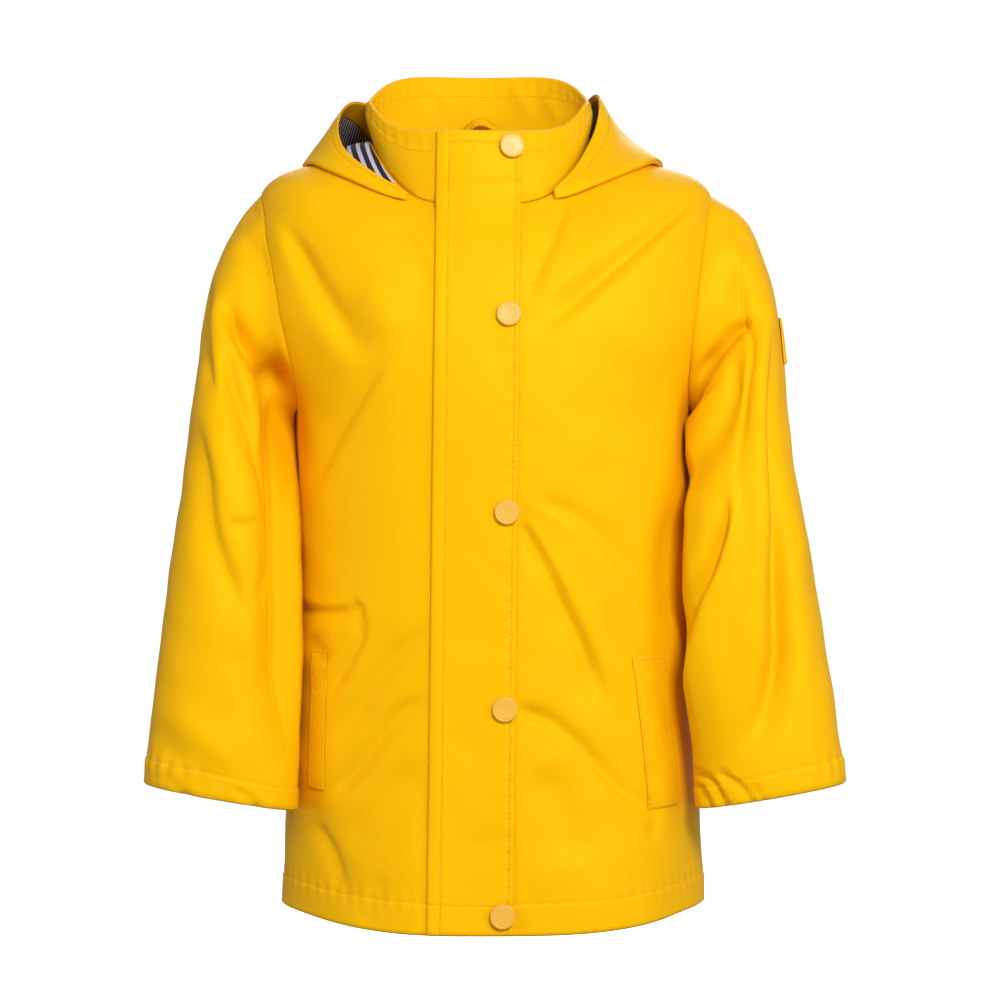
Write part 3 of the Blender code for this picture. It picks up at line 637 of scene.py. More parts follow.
class SleeveSurface:
    """A sleeve: rings that fan from the armhole, where it meets the body, to the cuff."""

    TUCK, OPENING_PROBE = 0.0006, 0.04
    NESTLE_START = {Side.RIGHT: (0.1, 1.0), Side.LEFT: (0.6, 1.8)}
    NESTLE_END = (5.0, 5.9)
    # angle round the sleeve, how far it moves towards the body or away from it
    NESTLE = {
        Side.RIGHT: (
            (100.0, 0.0), (112.0, -0.0022), (125.0, -0.0084), (139.0, -0.0130), (153.0, -0.0130),
            (165.0, -0.0058), (174.0, 0.0010), (184.0, 0.0028), (196.0, 0.0020), (212.0, 0.0),
        ),
        Side.LEFT: (
            (96.0, 0.0), (112.0, 0.0030), (128.0, 0.0082), (144.0, 0.0112), (160.0, 0.0074),
            (174.0, 0.0018), (188.0, 0.0),
        ),
    }

    def __init__(self, side: Side) -> None:
        """Keep the side's rings.

        Args:
            side: Which sleeve.
        """
        self.side = side
        self.rings = SLEEVE_RINGS[side]
        self.last = float(len(self.rings))

    def armhole(self, around: Grid) -> tuple[Grid, Grid]:
        """The armhole's turns and rows at angles round it, 0 at the top, 90 in front.

        Args:
            around: The angles, in degrees.

        Returns:
            The turns and the rows.
        """
        c, s = np.cos(np.radians(around)), np.sin(np.radians(around))
        row = ARMHOLE_MIDDLE + c * ARMHOLE_HALF
        forward = side_seam(self.side, row) + s * np.where(s > 0.0, ARMHOLE_FRONT, ARMHOLE_BACK)
        return self.side.turn(forward), row

    def directions(self, around: Grid) -> tuple[Grid, Grid]:
        """Into the armhole's opening along the body, and out from the body.

        Args:
            around: Angles round the armhole, in degrees.

        Returns:
            Two sets of unit vectors.
        """
        turn, row = self.armhole(around)
        centre_row = ARMHOLE_MIDDLE
        centre_turn = self.side.turn(side_seam(self.side, centre_row))
        share = self.OPENING_PROBE
        inner = BODY.base(turn + share * (centre_turn - turn), row + share * (centre_row - row))
        normal = BODY.normal(turn, row)
        opening = inner - BODY.base(turn, row)
        opening = opening - normal * (opening * normal).sum(axis=-1, keepdims=True)
        return unit(opening), normal

    def ring_points(self, around: Grid) -> Grid:
        """The armhole's edge and every ring's points, rings first.

        Args:
            around: Angles round the sleeve, in degrees.

        Returns:
            Points by ring and angle.
        """
        turn, row = self.armhole(around)
        opening, normal = self.directions(around)
        c, s = np.cos(np.radians(around)), np.sin(np.radians(around))
        scale = (np.abs(c) ** SLEEVE_SQUARE + np.abs(s) ** SLEEVE_SQUARE) ** (-1 / SLEEVE_SQUARE)
        start = DRESSED_BODY.point(turn, row) + opening * SEAM_GAP - normal * self.TUCK
        rings = [start]
        for outer_x, outer_z, inner_x, inner_z, middle_y, depth in self.rings:
            outer = np.array((outer_x, middle_y, outer_z))
            inner = np.array((inner_x, middle_y, inner_z))
            forward = np.array((0.0, -depth, 0.0))
            across = (outer - inner) / 2.0 * (c * scale)[..., None]
            rings.append((outer + inner) / 2.0 + across + forward * (s * scale)[..., None])
        return np.array(rings)

    def base(self, around: Grid, along: Grid) -> Grid:
        """A grid of the plain sleeve, one row for each of along.

        Args:
            around: Angles round the sleeve, one for each column.
            along: Fractional rings, one for each row.

        Returns:
            The grid of points.
        """
        return smooth_through(self.ring_points(around), np.asarray(along, float))

    def normal(self, around: Grid, along: Grid) -> Grid:
        """The outward normals of the plain sleeve.

        Args:
            around: Angles round the sleeve, in degrees.
            along: Fractional rings.

        Returns:
            A grid of unit normals.
        """
        along = np.clip(along, 0.03, self.last - 0.03)
        across = self.base(around + 1.0, along) - self.base(around - 1.0, along)
        down = self.base(around, along + PROBE_ROWS) - self.base(around, along - PROBE_ROWS)
        normal = unit(np.cross(down, across))
        return -normal if self.side is Side.LEFT else normal

    def lift(self, around: Grid, along: Grid, base: Grid) -> Grid:
        """How far the solid's large folds move the sleeve.

        Args:
            around: Angles round the sleeve, in degrees.
            along: Fractional rings.
            base: The grid of points of the plain sleeve.

        Returns:
            The moves along the normal.
        """
        front = smoothstep(np.sin(np.radians(around)), -0.1, 0.4)[None, :]
        folds = relief(SLEEVE_FOLDS[self.side], base[..., 0], base[..., 2])
        folds = FOLD_SHARE * folds * (0.4 + 0.6 * front) * smoothstep(along, 0.0, 0.8)[:, None]
        rests = smoothstep(along, *self.NESTLE_START[self.side])
        rests = rests * (1.0 - smoothstep(along, *self.NESTLE_END))
        turns, out = zip(*self.NESTLE[self.side])
        return folds + rests[:, None] * np.interp(around % 360.0, turns, out)[None, :]

    def inward(self, around: Grid, normal: Grid) -> Grid:
        """The wall's direction at the armhole, clear of the body's edge.

        Args:
            around: Angles round the armhole, in degrees.
            normal: The sleeve's normals there.

        Returns:
            Unit vectors into the wall.
        """
        opening, _ = self.directions(around)
        back = np.minimum(0.0, (-normal * opening).sum(axis=-1, keepdims=True))
        return unit(-normal - opening * back)


# ---------------------------------------------------------------- the folded hood's surface

# turn, fold_turn, fold_row, lift, fold_size, brim_x, brim_y, brim_z, bulge
HOOD_STATIONS = (
    (129.5, 127.0, 7.80, 0.0012, 0.0016, -0.0560, -0.0572, -0.0050, 0.000),
    (146.0, 150.0, 7.16, 0.0018, 0.0018, -0.0770, -0.0470, 0.0080, 0.000),
    (162.0, 164.0, 6.94, 0.0026, 0.0019, -0.0960, -0.0310, 0.0240, 0.000),
    (180.0, 181.0, 6.80, 0.0028, 0.0021, -0.1020, -0.0080, 0.0430, 0.000),
    (202.0, 204.0, 6.62, 0.0034, 0.0042, -0.0945, 0.0220, 0.0590, 0.001),
    (224.0, 226.0, 6.05, 0.0060, 0.0076, -0.0760, 0.0560, 0.0600, 0.008),
    (246.0, 248.0, 4.98, 0.0066, 0.0110, -0.0430, 0.0840, 0.0540, 0.015),
    (270.0, 270.0, 4.55, 0.0055, 0.0120, -0.0040, 0.0960, 0.0500, 0.018),
    (294.0, 292.0, 4.98, 0.0055, 0.0110, 0.0340, 0.0860, 0.0540, 0.015),
    (316.0, 314.0, 6.05, 0.0055, 0.0080, 0.0575, 0.0600, 0.0610, 0.006),
    (338.0, 336.0, 6.64, 0.0034, 0.0042, 0.0665, 0.0300, 0.0650, -0.003),
    (360.0, 359.0, 6.84, 0.0028, 0.0026, 0.0692, 0.0040, 0.0585, -0.005),
    (378.0, 376.0, 6.96, 0.0026, 0.0025, 0.0652, -0.0180, 0.0370, -0.001),
    (394.0, 390.0, 7.18, 0.0018, 0.0022, 0.0530, -0.0410, 0.0130, 0.000),
    (410.5, 412.0, 7.86, 0.0012, 0.0016, 0.0385, -0.0560, -0.0040, 0.000),
)
HOOD_SEAM_LIFT, HOOD_SEAM_ROW, HOOD_LAID_STEPS, HOOD_LAST_STEP = 0.0008, 7.965, 3.0, 7.0
HOOD_MIDDLE = 7.0


class HoodSurface:
    """The hood, laid down from the neck seam, turned over in a fold and back up to its brim."""

    LEAN, NEAR_EDGE, END_MARGIN, PROBE = 0.35, 0.85, 0.05, 0.04

    def __init__(self) -> None:
        """Keep the stations."""
        self.numbers = np.array(HOOD_STATIONS)
        self.last = len(self.numbers) - 1.0

    def laid(self, stations: Grid, share: Grid) -> Grid:
        """Where the hood lies on the body, from the neck seam (0) to the fold (1).

        Args:
            stations: Station numbers, one row each.
            share: Shares of the way, one column each.

        Returns:
            A grid of points.
        """
        turn = stations[:, 0:1] + (stations[:, 1:2] - stations[:, 0:1]) * share
        row = HOOD_SEAM_ROW + (stations[:, 2:3] - HOOD_SEAM_ROW) * share
        step = smoothstep(share, 0.0, 0.3)
        lift = HOOD_SEAM_LIFT + (stations[:, 3:4] - HOOD_SEAM_LIFT) * step
        return BODY.point(turn, row, lift)

    def point(self, places: Grid, steps: Grid) -> Grid:
        """A grid of the hood's outer face.

        Args:
            places: Fractional stations, one row each.
            steps: Steps from the neck seam (0) to the brim (7), one column each.

        Returns:
            A grid of points.
        """
        stations = smooth_through(self.numbers, places)
        edge = self.laid(stations, np.array([1.0]))[:, 0]
        before = self.laid(stations, np.array([1.0 - 1.0 / HOOD_LAID_STEPS]))[:, 0]
        away = unit(edge - self.laid(stations, np.array([self.NEAR_EDGE]))[:, 0])
        up = BODY.normal(stations[:, 1], stations[:, 2])
        size, bulge = stations[:, 4:5], stations[:, 8:9]
        turned = edge + away * size + up * size
        over = edge + up * 2.0 * size
        brim = stations[:, 5:8]
        middle = (over + brim) / 2.0 + unit(away * self.LEAN + up) * bulge
        profile = np.array((before, edge, turned, over, middle, brim))
        steps = np.asarray(steps, float)
        raised = np.swapaxes(smooth_through(profile, steps - HOOD_LAID_STEPS + 1.0), 0, 1)
        lying = self.laid(stations, np.minimum(steps, HOOD_LAID_STEPS)[None, :] / HOOD_LAID_STEPS)
        return np.where((steps <= HOOD_LAID_STEPS)[None, :, None], lying, raised)

    def inward(self, places: Grid, steps: Grid) -> Grid:
        """From the outer face towards the lined face.

        Args:
            places: Fractional stations.
            steps: Fractional steps from neck to brim.

        Returns:
            A grid of unit vectors.
        """
        places = np.clip(places, self.END_MARGIN, self.last - self.END_MARGIN)
        steps = np.clip(steps, self.END_MARGIN, HOOD_LAST_STEP - self.END_MARGIN)
        probe = self.PROBE
        across = self.point(places + probe, steps) - self.point(places - probe, steps)
        up = self.point(places, steps + probe) - self.point(places, steps - probe)
        return -unit(np.cross(up, across))


HOOD = HoodSurface()


# ---------------------------------------------------------------- meshes

def grid_normals(grid: Grid, tube: bool = False) -> Grid:
    """Normals of a grid of points, from its neighbours.

    Args:
        grid: Points in rows and columns.
        tube: Whether the last column meets the first.

    Returns:
        One normal a point, along (down the column) x (across the row).
    """
    if tube:
        across = np.roll(grid, -1, axis=1) - np.roll(grid, 1, axis=1)
    else:
        across = np.gradient(grid, axis=1)
    return unit(np.cross(np.gradient(grid, axis=0), across))


def new_mesh_object(
    name: str, points: Grid, quads: Grid, uvs: Grid | None = None
) -> bpy.types.Object:
    """An object of its own from points and quads, shaded smooth.

    Args:
        name: The piece's name.
        points: One row for each point.
        quads: Four point numbers a face.
        uvs: Cloth coordinates in metres, one pair a point, if the piece has them.

    Returns:
        The linked object.
    """
    mesh = bpy.data.meshes.new(name)
    mesh.vertices.add(len(points))
    mesh.vertices.foreach_set("co", np.asarray(points, dtype=np.float32).ravel())
    mesh.loops.add(quads.size)
    mesh.loops.foreach_set("vertex_index", quads.ravel().astype(np.int32))
    mesh.polygons.add(len(quads))
    mesh.polygons.foreach_set("loop_start", np.arange(0, quads.size, 4, dtype=np.int32))
    mesh.polygons.foreach_set("loop_total", np.full(len(quads), 4, dtype=np.int32))
    if uvs is not None:
        layer = mesh.uv_layers.new(name=CLOTH_UV)
        layer.data.foreach_set("uv", uvs[quads.ravel()].astype(np.float32).ravel())
    mesh.update(calc_edges=True)
    mesh.validate()
    build = bmesh.new()
    build.from_mesh(mesh)
    bmesh.ops.recalc_face_normals(build, faces=build.faces)
    build.to_mesh(mesh)
    build.free()
    mesh.shade_smooth()
    piece = bpy.data.objects.new(name, mesh)
    bpy.context.scene.collection.objects.link(piece)
    return piece


CLOTH_UV = "cloth"
RIM, SEAM_RIM = 0.42, 0.04


@dataclass
class Wall:
    """A cloth wall: an outer face, an inner face a thickness away, and rounded edges.

    Rims say how far its first and last rows and columns round out, as shares of its depth.
    """

    outer: Grid
    inner: Grid
    tube: bool = False
    rims: tuple[float, float, float, float] = (RIM, RIM, RIM, RIM)

    def edge_lines(self) -> list[tuple[Grid, Grid, Grid, Grid]]:
        """The open edges: first and last row, then first and last column.

        Returns:
            Each edge's index line with its outer, inner and next-inside outer points.
        """
        rows, columns = self.outer.shape[:2]
        index = np.arange(rows * columns).reshape(rows, columns)
        lines = [
            (index[0], self.outer[0], self.inner[0], self.outer[1]),
            (index[-1], self.outer[-1], self.inner[-1], self.outer[-2]),
        ]
        if not self.tube:
            lines += [
                (index[:, 0], self.outer[:, 0], self.inner[:, 0], self.outer[:, 1]),
                (index[:, -1], self.outer[:, -1], self.inner[:, -1], self.outer[:, -2]),
            ]
        return lines

    def build(self, name: str) -> bpy.types.Object:
        """The wall as a closed mesh with rounded rims.

        Args:
            name: The piece's name.

        Returns:
            The linked object.
        """
        rows, columns = self.outer.shape[:2]
        count = rows * columns
        index = np.arange(count).reshape(rows, columns)
        if self.tube:
            index = np.concatenate((index, index[:, :1]), axis=1)
        face = np.stack(
            (index[:-1, :-1], index[:-1, 1:], index[1:, 1:], index[1:, :-1]), axis=-1
        ).reshape(-1, 4)
        points = [self.outer.reshape(-1, 3), self.inner.reshape(-1, 3)]
        quads = [face, face[:, ::-1] + count]
        across, along = lengths(self.outer)
        uv = np.stack((across, along), axis=-1).reshape(-1, 2)
        uvs = [uv, uv]
        total = 2 * count
        for number, (line, outer, inner, inside) in enumerate(self.edge_lines()):
            away = unit(outer - inside)
            depth = np.linalg.norm(outer - inner, axis=-1, keepdims=True)
            rim = (outer + inner) / 2.0 + away * depth * self.rims[number]
            mids = np.arange(total, total + len(line))
            if self.tube:
                line, mids = np.append(line, line[0]), np.append(mids, mids[0])
            pairs = (line, mids), (mids, line + count)
            for first, second in pairs:
                strip = np.stack((first[:-1], first[1:], second[1:], second[:-1]), axis=-1)
                quads.append(strip if number in (1, 2) else strip[:, ::-1])
            points.append(rim)
            uvs.append(uv[line[: len(rim)]])
            total += len(rim)
        return new_mesh_object(
            name, np.concatenate(points), np.concatenate(quads), np.concatenate(uvs)
        )


# one stitch's rings: share of its length, share of its size, share of its height
STITCH_SHARES = (0.0, 0.12, 0.5, 0.88, 1.0)
STITCH_SIZES = (0.25, 0.9, 1.0, 0.9, 0.25)
STITCH_SUNK, STITCH_RAISED = -0.35, 0.55


@dataclass(frozen=True)
class Thread:
    """A row of stitches along a line on the cloth."""

    length: float = 0.0026
    gap: float = 0.0009
    width: float = 0.00052
    height: float = 0.00030
    ring: int = 5

    def stitches(self, line: Grid, normals: Grid) -> tuple[Grid, Grid]:
        """The points and quads of a row of stitches.

        Args:
            line: Points along the seam, on the cloth's face.
            normals: The cloth's outward normals there.

        Returns:
            Points and quads.
        """
        gone = np.concatenate(((0.0,), np.cumsum(np.linalg.norm(np.diff(line, axis=0), axis=-1))))
        pitch = self.length + self.gap
        count = int((gone[-1] - self.gap) / pitch)
        if count < 1:
            return np.zeros((0, 3)), np.zeros((0, 4), dtype=int)
        starts = (gone[-1] - count * pitch + self.gap) / 2.0 + np.arange(count) * pitch
        shares, sizes = np.array(STITCH_SHARES), np.array(STITCH_SIZES)
        at = starts[:, None] + shares[None, :] * self.length
        centre = np.stack([np.interp(at, gone, line[:, k]) for k in range(3)], axis=-1)
        up = unit(np.stack([np.interp(at, gone, normals[:, k]) for k in range(3)], axis=-1))
        ahead = unit(centre[:, -1:] - centre[:, :1])
        side = unit(np.cross(up, ahead))
        angle = np.radians(np.arange(self.ring) * 360.0 / self.ring + 90.0)
        ends = np.where((shares == 0.0) | (shares == 1.0), STITCH_SUNK, STITCH_RAISED)
        lift = centre + up * (self.height * ends)[None, :, None]
        wide = self.width / 2.0 * sizes[:, None] * np.cos(angle)
        tall = self.height * sizes[:, None] * np.sin(angle)
        points = (
            lift[:, :, None, :] + side[:, :, None, :] * wide[None, :, :, None]
            + up[:, :, None, :] * tall[None, :, :, None]
        )
        rings = np.arange(count * len(shares) * self.ring)
        rings = rings.reshape(count, len(shares), self.ring)
        turned = np.roll(rings, -1, axis=2)
        quads = np.stack(
            (rings[:, :-1], rings[:, 1:], turned[:, 1:], turned[:, :-1]), axis=-1
        ).reshape(-1, 4)
        return points.reshape(-1, 3), quads


class Sewing:
    """Collects rows of stitches on one cloth piece and joins them as one object."""

    def __init__(self, thread: Thread = Thread()) -> None:
        """Start with no stitches.

        Args:
            thread: The thread to sew with.
        """
        self.thread = thread
        self.points: list[Grid] = []
        self.quads: list[Grid] = []
        self.total = 0

    def row(self, line: Grid, normals: Grid) -> None:
        """Add one row of stitches along a line.

        Args:
            line: Points of the line.
            normals: The cloth's normals there.
        """
        points, quads = self.thread.stitches(line, normals)
        self.points.append(points)
        self.quads.append(quads + self.total)
        self.total += len(points)

    def build(self, name: str) -> bpy.types.Object:
        """The joined stitches."""
        return new_mesh_object(name, np.concatenate(self.points), np.concatenate(self.quads))


# ---------------------------------------------------------------- cuts and settling pieces

@dataclass(frozen=True)
class Cut:
    """A cloth piece's flat cut, and how it is held."""

    width: float
    length: float
    area: float
    held: Held = Held.HUNG
    rests_on: tuple[str, ...] = ()


def settle(
    piece: bpy.types.Object,
    node: str,
    finish: "Finish",
    sewn: Sequence[bpy.types.Object] = (),
) -> None:
    """Dress a piece, put it in its solid's place and state its cloth.

    Args:
        piece: The finished piece.
        node: The solid that it stands for.
        finish: Its material.
        sewn: Rows of sewing that lie on it.
    """
    piece.data.materials.append(finish.material())
    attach(piece, ROOT_BODY)
    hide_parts(node)
    for stitches in sewn:
        stitches.data.materials.append(THREAD_FINISH.material())
        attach(stitches, ROOT_BODY)
    corners = np.array([corner[:] for corner in piece.bound_box])
    size = (corners.max(axis=0) - corners.min(axis=0)) * 1000.0
    area = sum(face.area for face in piece.data.polygons) / 2.0
    log.info(
        "%s: %d faces, %.0f x %.0f x %.0f mm, cloth %.5f square metres",
        piece.name, len(piece.data.polygons), *size, area,
    )


def settle_sewn(wall: Wall, node: str, sewing: Sewing, kind: str = "stitches") -> None:
    """Build a coated cloth piece and its rows of stitches, and settle both.

    Args:
        wall: The piece's wall.
        node: The solid that it stands for.
        sewing: Its rows of stitches.
        kind: What the rows are called.
    """
    piece = wall.build(node + "_cloth")
    settle(piece, node, COATED_CLOTH, [sewing.build(f"{node}_{kind}")])


def pull_in(grid: Grid, rows: bool, columns: bool, amount: float = SEAM_GAP / 2.0) -> None:
    """Move a grid's edges towards their neighbours, to leave half a seam gap.

    Args:
        grid: The points, changed in place.
        rows: Whether the last row moves.
        columns: Whether both side edges move.
        amount: How far, in metres.
    """
    if columns:
        for edge, beside in ((0, 1), (-1, -2)):
            grid[:, edge] += unit(grid[:, beside] - grid[:, edge]) * amount
    if rows:
        grid[-1] += unit(grid[-2] - grid[-1]) * amount


# ---------------------------------------------------------------- the body

FRONT_CREASES = creases(
    (((-135.2, -23.4), (-124.1, -45.5), (-110.5, -71.5), (-96.2, -93.6), (-76.7, -115.7)),
     (4.6, 12.3), -5.6, -0.16),
    (((-146.9, -6.5), (-141.7, -39), (-136.5, -71.5), (-131.3, -113.7), (-128.7, -149.5)),
     (14.3, 13), 4),
    (((-83.2, -58.5), (-70.8, -81.9), (-59.8, -104)), (11, 11), 2),
    (((-65, -20.8), (-52, -42.9), (-35.1, -66.3)), (5.2, 5.8), -1.8),
    (((-62.4, -104), (-81.9, -133.9), (-101.4, -166.4), (-117.6, -202.8)), (7.8, 7.2), -2.6,
     0.08),
    (((-120.2, -270.4), (-109.8, -272.3), (-98.8, -272.3), (-84.5, -269.7)), (5.8, 5.8), -3.2,
     0.14, True),
    (((-85.1, -269.1), (-83.2, -284.7), (-89, -299), (-99.4, -315.9), (-109.2, -328.9)),
     (5.2, 7.2), -2.6, 0.12, True),
    (((-119.6, -287.3), (-111.8, -296.4), (-105.3, -308.1)), (5.8, 5.2), -2),
    (((-33.8, -273), (-55.9, -292.5), (-75.4, -315.9), (-92.3, -339.3), (-107.9, -361.4)),
     (5.8, 7.8), -2.8, -0.08),
    (((-37.7, -319.8), (-58.5, -334.1), (-76.7, -356.2), (-96.2, -379.6), (-113.1, -396.5)),
     (6.5, 9.1), -3.6, -0.1),
    (((-37.7, -365.3), (-61.1, -380.9), (-83.2, -404.3), (-97.5, -430.3)), (9.1, 10.4), -2.4),
    (((-115.7, -404.3), (-107.9, -414.7), (-100.1, -429), (-94.9, -451.1)), (6.5, 6.5), -2,
     0.08),
    (((-67.6, -434.2), (-75.4, -453.7), (-84.5, -471.9)), (5.8, 5.8), -1.5),
    (((135.8, 0), (118.3, -18.8), (94.9, -39), (68.9, -61.1), (44.2, -81.9), (22.1, -98.8)),
     (5.2, 11.7), -5.2, 0.14),
    (((48.1, -3.9), (40.3, -29.9), (30.5, -52), (20.8, -75.4)), (5.2, 5.8), -2.6, 0.08),
    (((76.7, -110.5), (94.9, -136.5), (104.6, -162.5)), (11, 11), -1.2),
    (((25.3, -201.5), (44.2, -208), (63.7, -222.3), (83.2, -244.4), (102.7, -267.8)), (5.8, 9.1),
     -2.8, -0.08),
    (((119, -200.2), (110.5, -227.5), (109.2, -260), (115, -288.6)), (9.7, 9.7), -3),
    (((20.8, -220.3), (33.1, -242.4), (43.5, -265.2), (54.6, -288.6), (63.7, -310.7),
     (71.5, -336.7)), (3.9, 6.5), -4.8, 0.12, True),
    (((35.1, -230.7), (50.7, -260), (66.3, -292.5), (76.7, -325)), (7.8, 8.4), 1.4),
    (((18.2, -334.1), (35.1, -340.6), (53.3, -356.2), (72.8, -377), (94.9, -395.2),
     (113.1, -404.3)), (5.2, 7.2), -3.4, -0.06, True),
    (((28.6, -365.3), (41.6, -396.5), (54.6, -432.9)), (13, 14.3), -3),
    (((68.9, -260.6), (79.3, -282.1), (91, -302.2), (102.7, -317.2)), (5.8, 5.8), -2),
    (((96.8, -364), (101.4, -380.2), (102.7, -404.3), (98.8, -421.2)), (4.6, 4.6), -2.2),
)

BACK_CREASES = creases(
    (((-130, -60), (-108, -98), (-84, -150), (-70, -208)), (7.5, 12), -2.6, 0.4),
    (((128, -66), (104, -110), (80, -170), (68, -235)), (7.5, 11), -2.4, -0.4),
    (((-124, -150), (-102, -172), (-82, -182)), (5, 7.5), -1.8),
    (((122, -150), (100, -176), (76, -190)), (5, 7.5), -1.7),
    (((-60, -240), (-70, -300), (-76, -370), (-78, -440)), (8, 11), -2.2,
     -0.3),
    (((8, -205), (15, -280), (12, -360), (6, -430)), (9, 12), -1.6, 0.25),
    (((78, -262), (90, -330), (94, -400), (92, -450)), (7.5, 10), -2.2, 0.35),
    (((-28, -300), (-38, -360), (-36, -430)), (6, 8), -1.3),
    (((44, -330), (52, -390), (48, -455)), (5.5, 7), -1.3, -0.4),
    (((-40, -110), (-8, -118), (28, -112)), (11, 11), -1),
    (((-90, -250), (-106, -290), (-114, -345)), (5, 7), -1.6, 0.3),
    (((60, -215), (38, -240), (20, -252)), (6, 8), -1.2),
)


class DressedBody(BodySurface):
    """The body's surface with its listed creases and slight unevenness."""

    FLAP_CALM = 0.012
    UNEVENNESS = 0.00045
    TIP, TIP_REACH, TIP_Z, TIP_HEIGHT = 0.0045, 0.40, -0.008, 0.022
    # size, turn, reach in turns, height, reach in height
    SWELLS = (
        (0.0044, 189.0, 15.0, -0.163, 0.024), (0.0015, 188.0, 12.0, -0.146, 0.010),
        (0.0026, 352.0, 13.0, -0.150, 0.014),
    )

    def lift(self, turn: Grid, row: Grid, base: Grid) -> Grid:
        """How far folds, creases and unevenness move the cloth along its normal.

        Args:
            turn: Turns round the rings, in degrees.
            row: Fractional rows.
            base: Points of the plain surface there.

        Returns:
            The moves, in metres.
        """
        facing = np.sin(np.radians(turn))
        x, z = base[..., 0], base[..., 2]
        front, back = facing > 0.0, facing <= 0.0
        fine = np.where(front, relief(FRONT_CREASES, x, z), relief(BACK_CREASES, x, z))
        fine = fine * smoothstep(np.abs(facing), 0.06, 0.34)
        centre = FLAP_CENTRE_AT_NECK + FLAP_SLANT * z
        half = FLAP_WIDTH / 2.0
        away = np.abs(x - centre)
        open_cloth = np.where(front, smoothstep(away, half - 0.001, half + self.FLAP_CALM), 1.0)
        fine = (fine + undulation(base, self.UNEVENNESS)) * open_cloth
        for size, at, turns, height, tall in self.SWELLS:
            fine = fine + size * bump(turn - at, turns) * bump(z - height, tall)
        tip = bump(facing, self.TIP_REACH) * bump(z - self.TIP_Z, self.TIP_HEIGHT)
        return super().lift(turn, row, base) + fine + self.TIP * tip


DRESSED_BODY = DressedBody(BODY_RINGS)

# a turned-up hem's step, from the cloth above its stitches to the doubled cloth below
HEM_STEP = (-0.0004, 0.0012)


@dataclass
class BodyPanels:
    """The back and the two fronts, hemmed at the bottom and butted at their seams."""

    cloth: float = 0.0015
    hem_band: float = 0.0180
    hem_build: float = 0.0005
    hem_inside: float = 0.0010
    hem_groove: Groove = Groove(0.00045, 0.0009)
    hem_puckers: Puckers = Puckers(0.00042, 0.0085, 0.0065, 1.7, 31.0)
    side_groove: Groove = Groove(0.00025, 0.0012)
    edge_shares: Pair = (0.0025, 0.006)
    skirt_rows: int = 180
    armhole_rows: int = 84
    shoulder_rows: int = 48
    front_columns: int = 82
    back_columns: int = 106
    cuts: dict[str, Cut] = field(default_factory=lambda: {
        "back": Cut(0.430, 0.560, 0.1950),
        "front_left": Cut(0.225, 0.500, 0.0915),
        "front_right": Cut(0.190, 0.500, 0.0750),
    })

    def rows(self) -> Grid:
        """Rows from hem to neck, close at the hem's stitches and the armhole's turns.

        Returns:
            Fractional rows.
        """
        skirt = np.linspace(HEM_ROW, ARMPIT_ROW, self.skirt_rows)
        down = np.cos(np.linspace(0.0, math.pi, self.armhole_rows))
        armhole = ARMHOLE_MIDDLE - ARMHOLE_HALF * down
        shoulder = np.linspace(TIP_ROW, NECK_ROW, self.shoulder_rows)
        rows = np.unique(np.concatenate((skirt, armhole, shoulder)))
        return with_dense(rows, [self.hem_row()], half=0.05)

    def hem_row(self) -> float:
        """The row of the hem's stitches."""
        return BODY.row_at(60.0, self.hem_band)

    def panel(self, name: str, first: Callable, last: Callable, columns: int) -> None:
        """One panel and its sewing, built and settled.

        Args:
            name: The panel's node.
            first: The turn of its first edge, by row.
            last: The turn of its last edge, by row.
            columns: How many steps across.
        """
        rows = self.rows()
        share = np.linspace(0.0, 1.0, columns)
        edge = np.array(self.edge_shares)
        share = np.unique(np.concatenate((share, edge, 1.0 - edge)))
        start, end = first(rows)[:, None], last(rows)[:, None]
        turn = start + (end - start) * share[None, :]
        row = np.broadcast_to(rows[:, None], turn.shape)
        base = BODY.base(turn, row)
        normal = BODY.normal(turn, row)
        lift = DRESSED_BODY.lift(turn, row, base)
        across, along = lengths(base)
        beside = np.minimum(across, across[:, -1:] - across)
        lift = lift - self.side_groove.dip(beside)
        hem_at = along[rows.searchsorted(self.hem_row())][None, :]
        away = along - hem_at
        band = 1.0 - smoothstep(away, -HEM_STEP[1], -HEM_STEP[0])
        uneven = 0.55 + 0.45 * np.sin(across * 23.0)
        lift = lift + self.hem_build * band - self.hem_groove.dip(away)
        lift = lift + self.hem_puckers.lift(across, away) * uneven
        outer = base + normal * lift[..., None]
        inner = base + normal * (lift - self.cloth - self.hem_inside * band)[..., None]
        for grid in (outer, inner):
            pull_in(grid, rows=True, columns=True)
        sewing = Sewing()
        k = int(rows.searchsorted(self.hem_row()))
        normals = grid_normals(outer)
        if (normals[k] * normal[k]).sum() < 0.0:
            normals = -normals
        sewing.row(outer[k], normals[k])
        wall = Wall(outer, inner, rims=(RIM, SEAM_RIM, SEAM_RIM, SEAM_RIM))
        settle_sewn(wall, name, sewing, "hem_stitches")

    def build(self) -> None:
        """Build the three panels."""
        self.panel("back", back_edge(Side.RIGHT), back_edge(Side.LEFT), self.back_columns)
        self.panel("front_left", front_edge(Side.LEFT), front_middle, self.front_columns)
        self.panel("front_right", front_middle, front_edge(Side.RIGHT), self.front_columns)


# ---------------------------------------------------------------- the sleeves

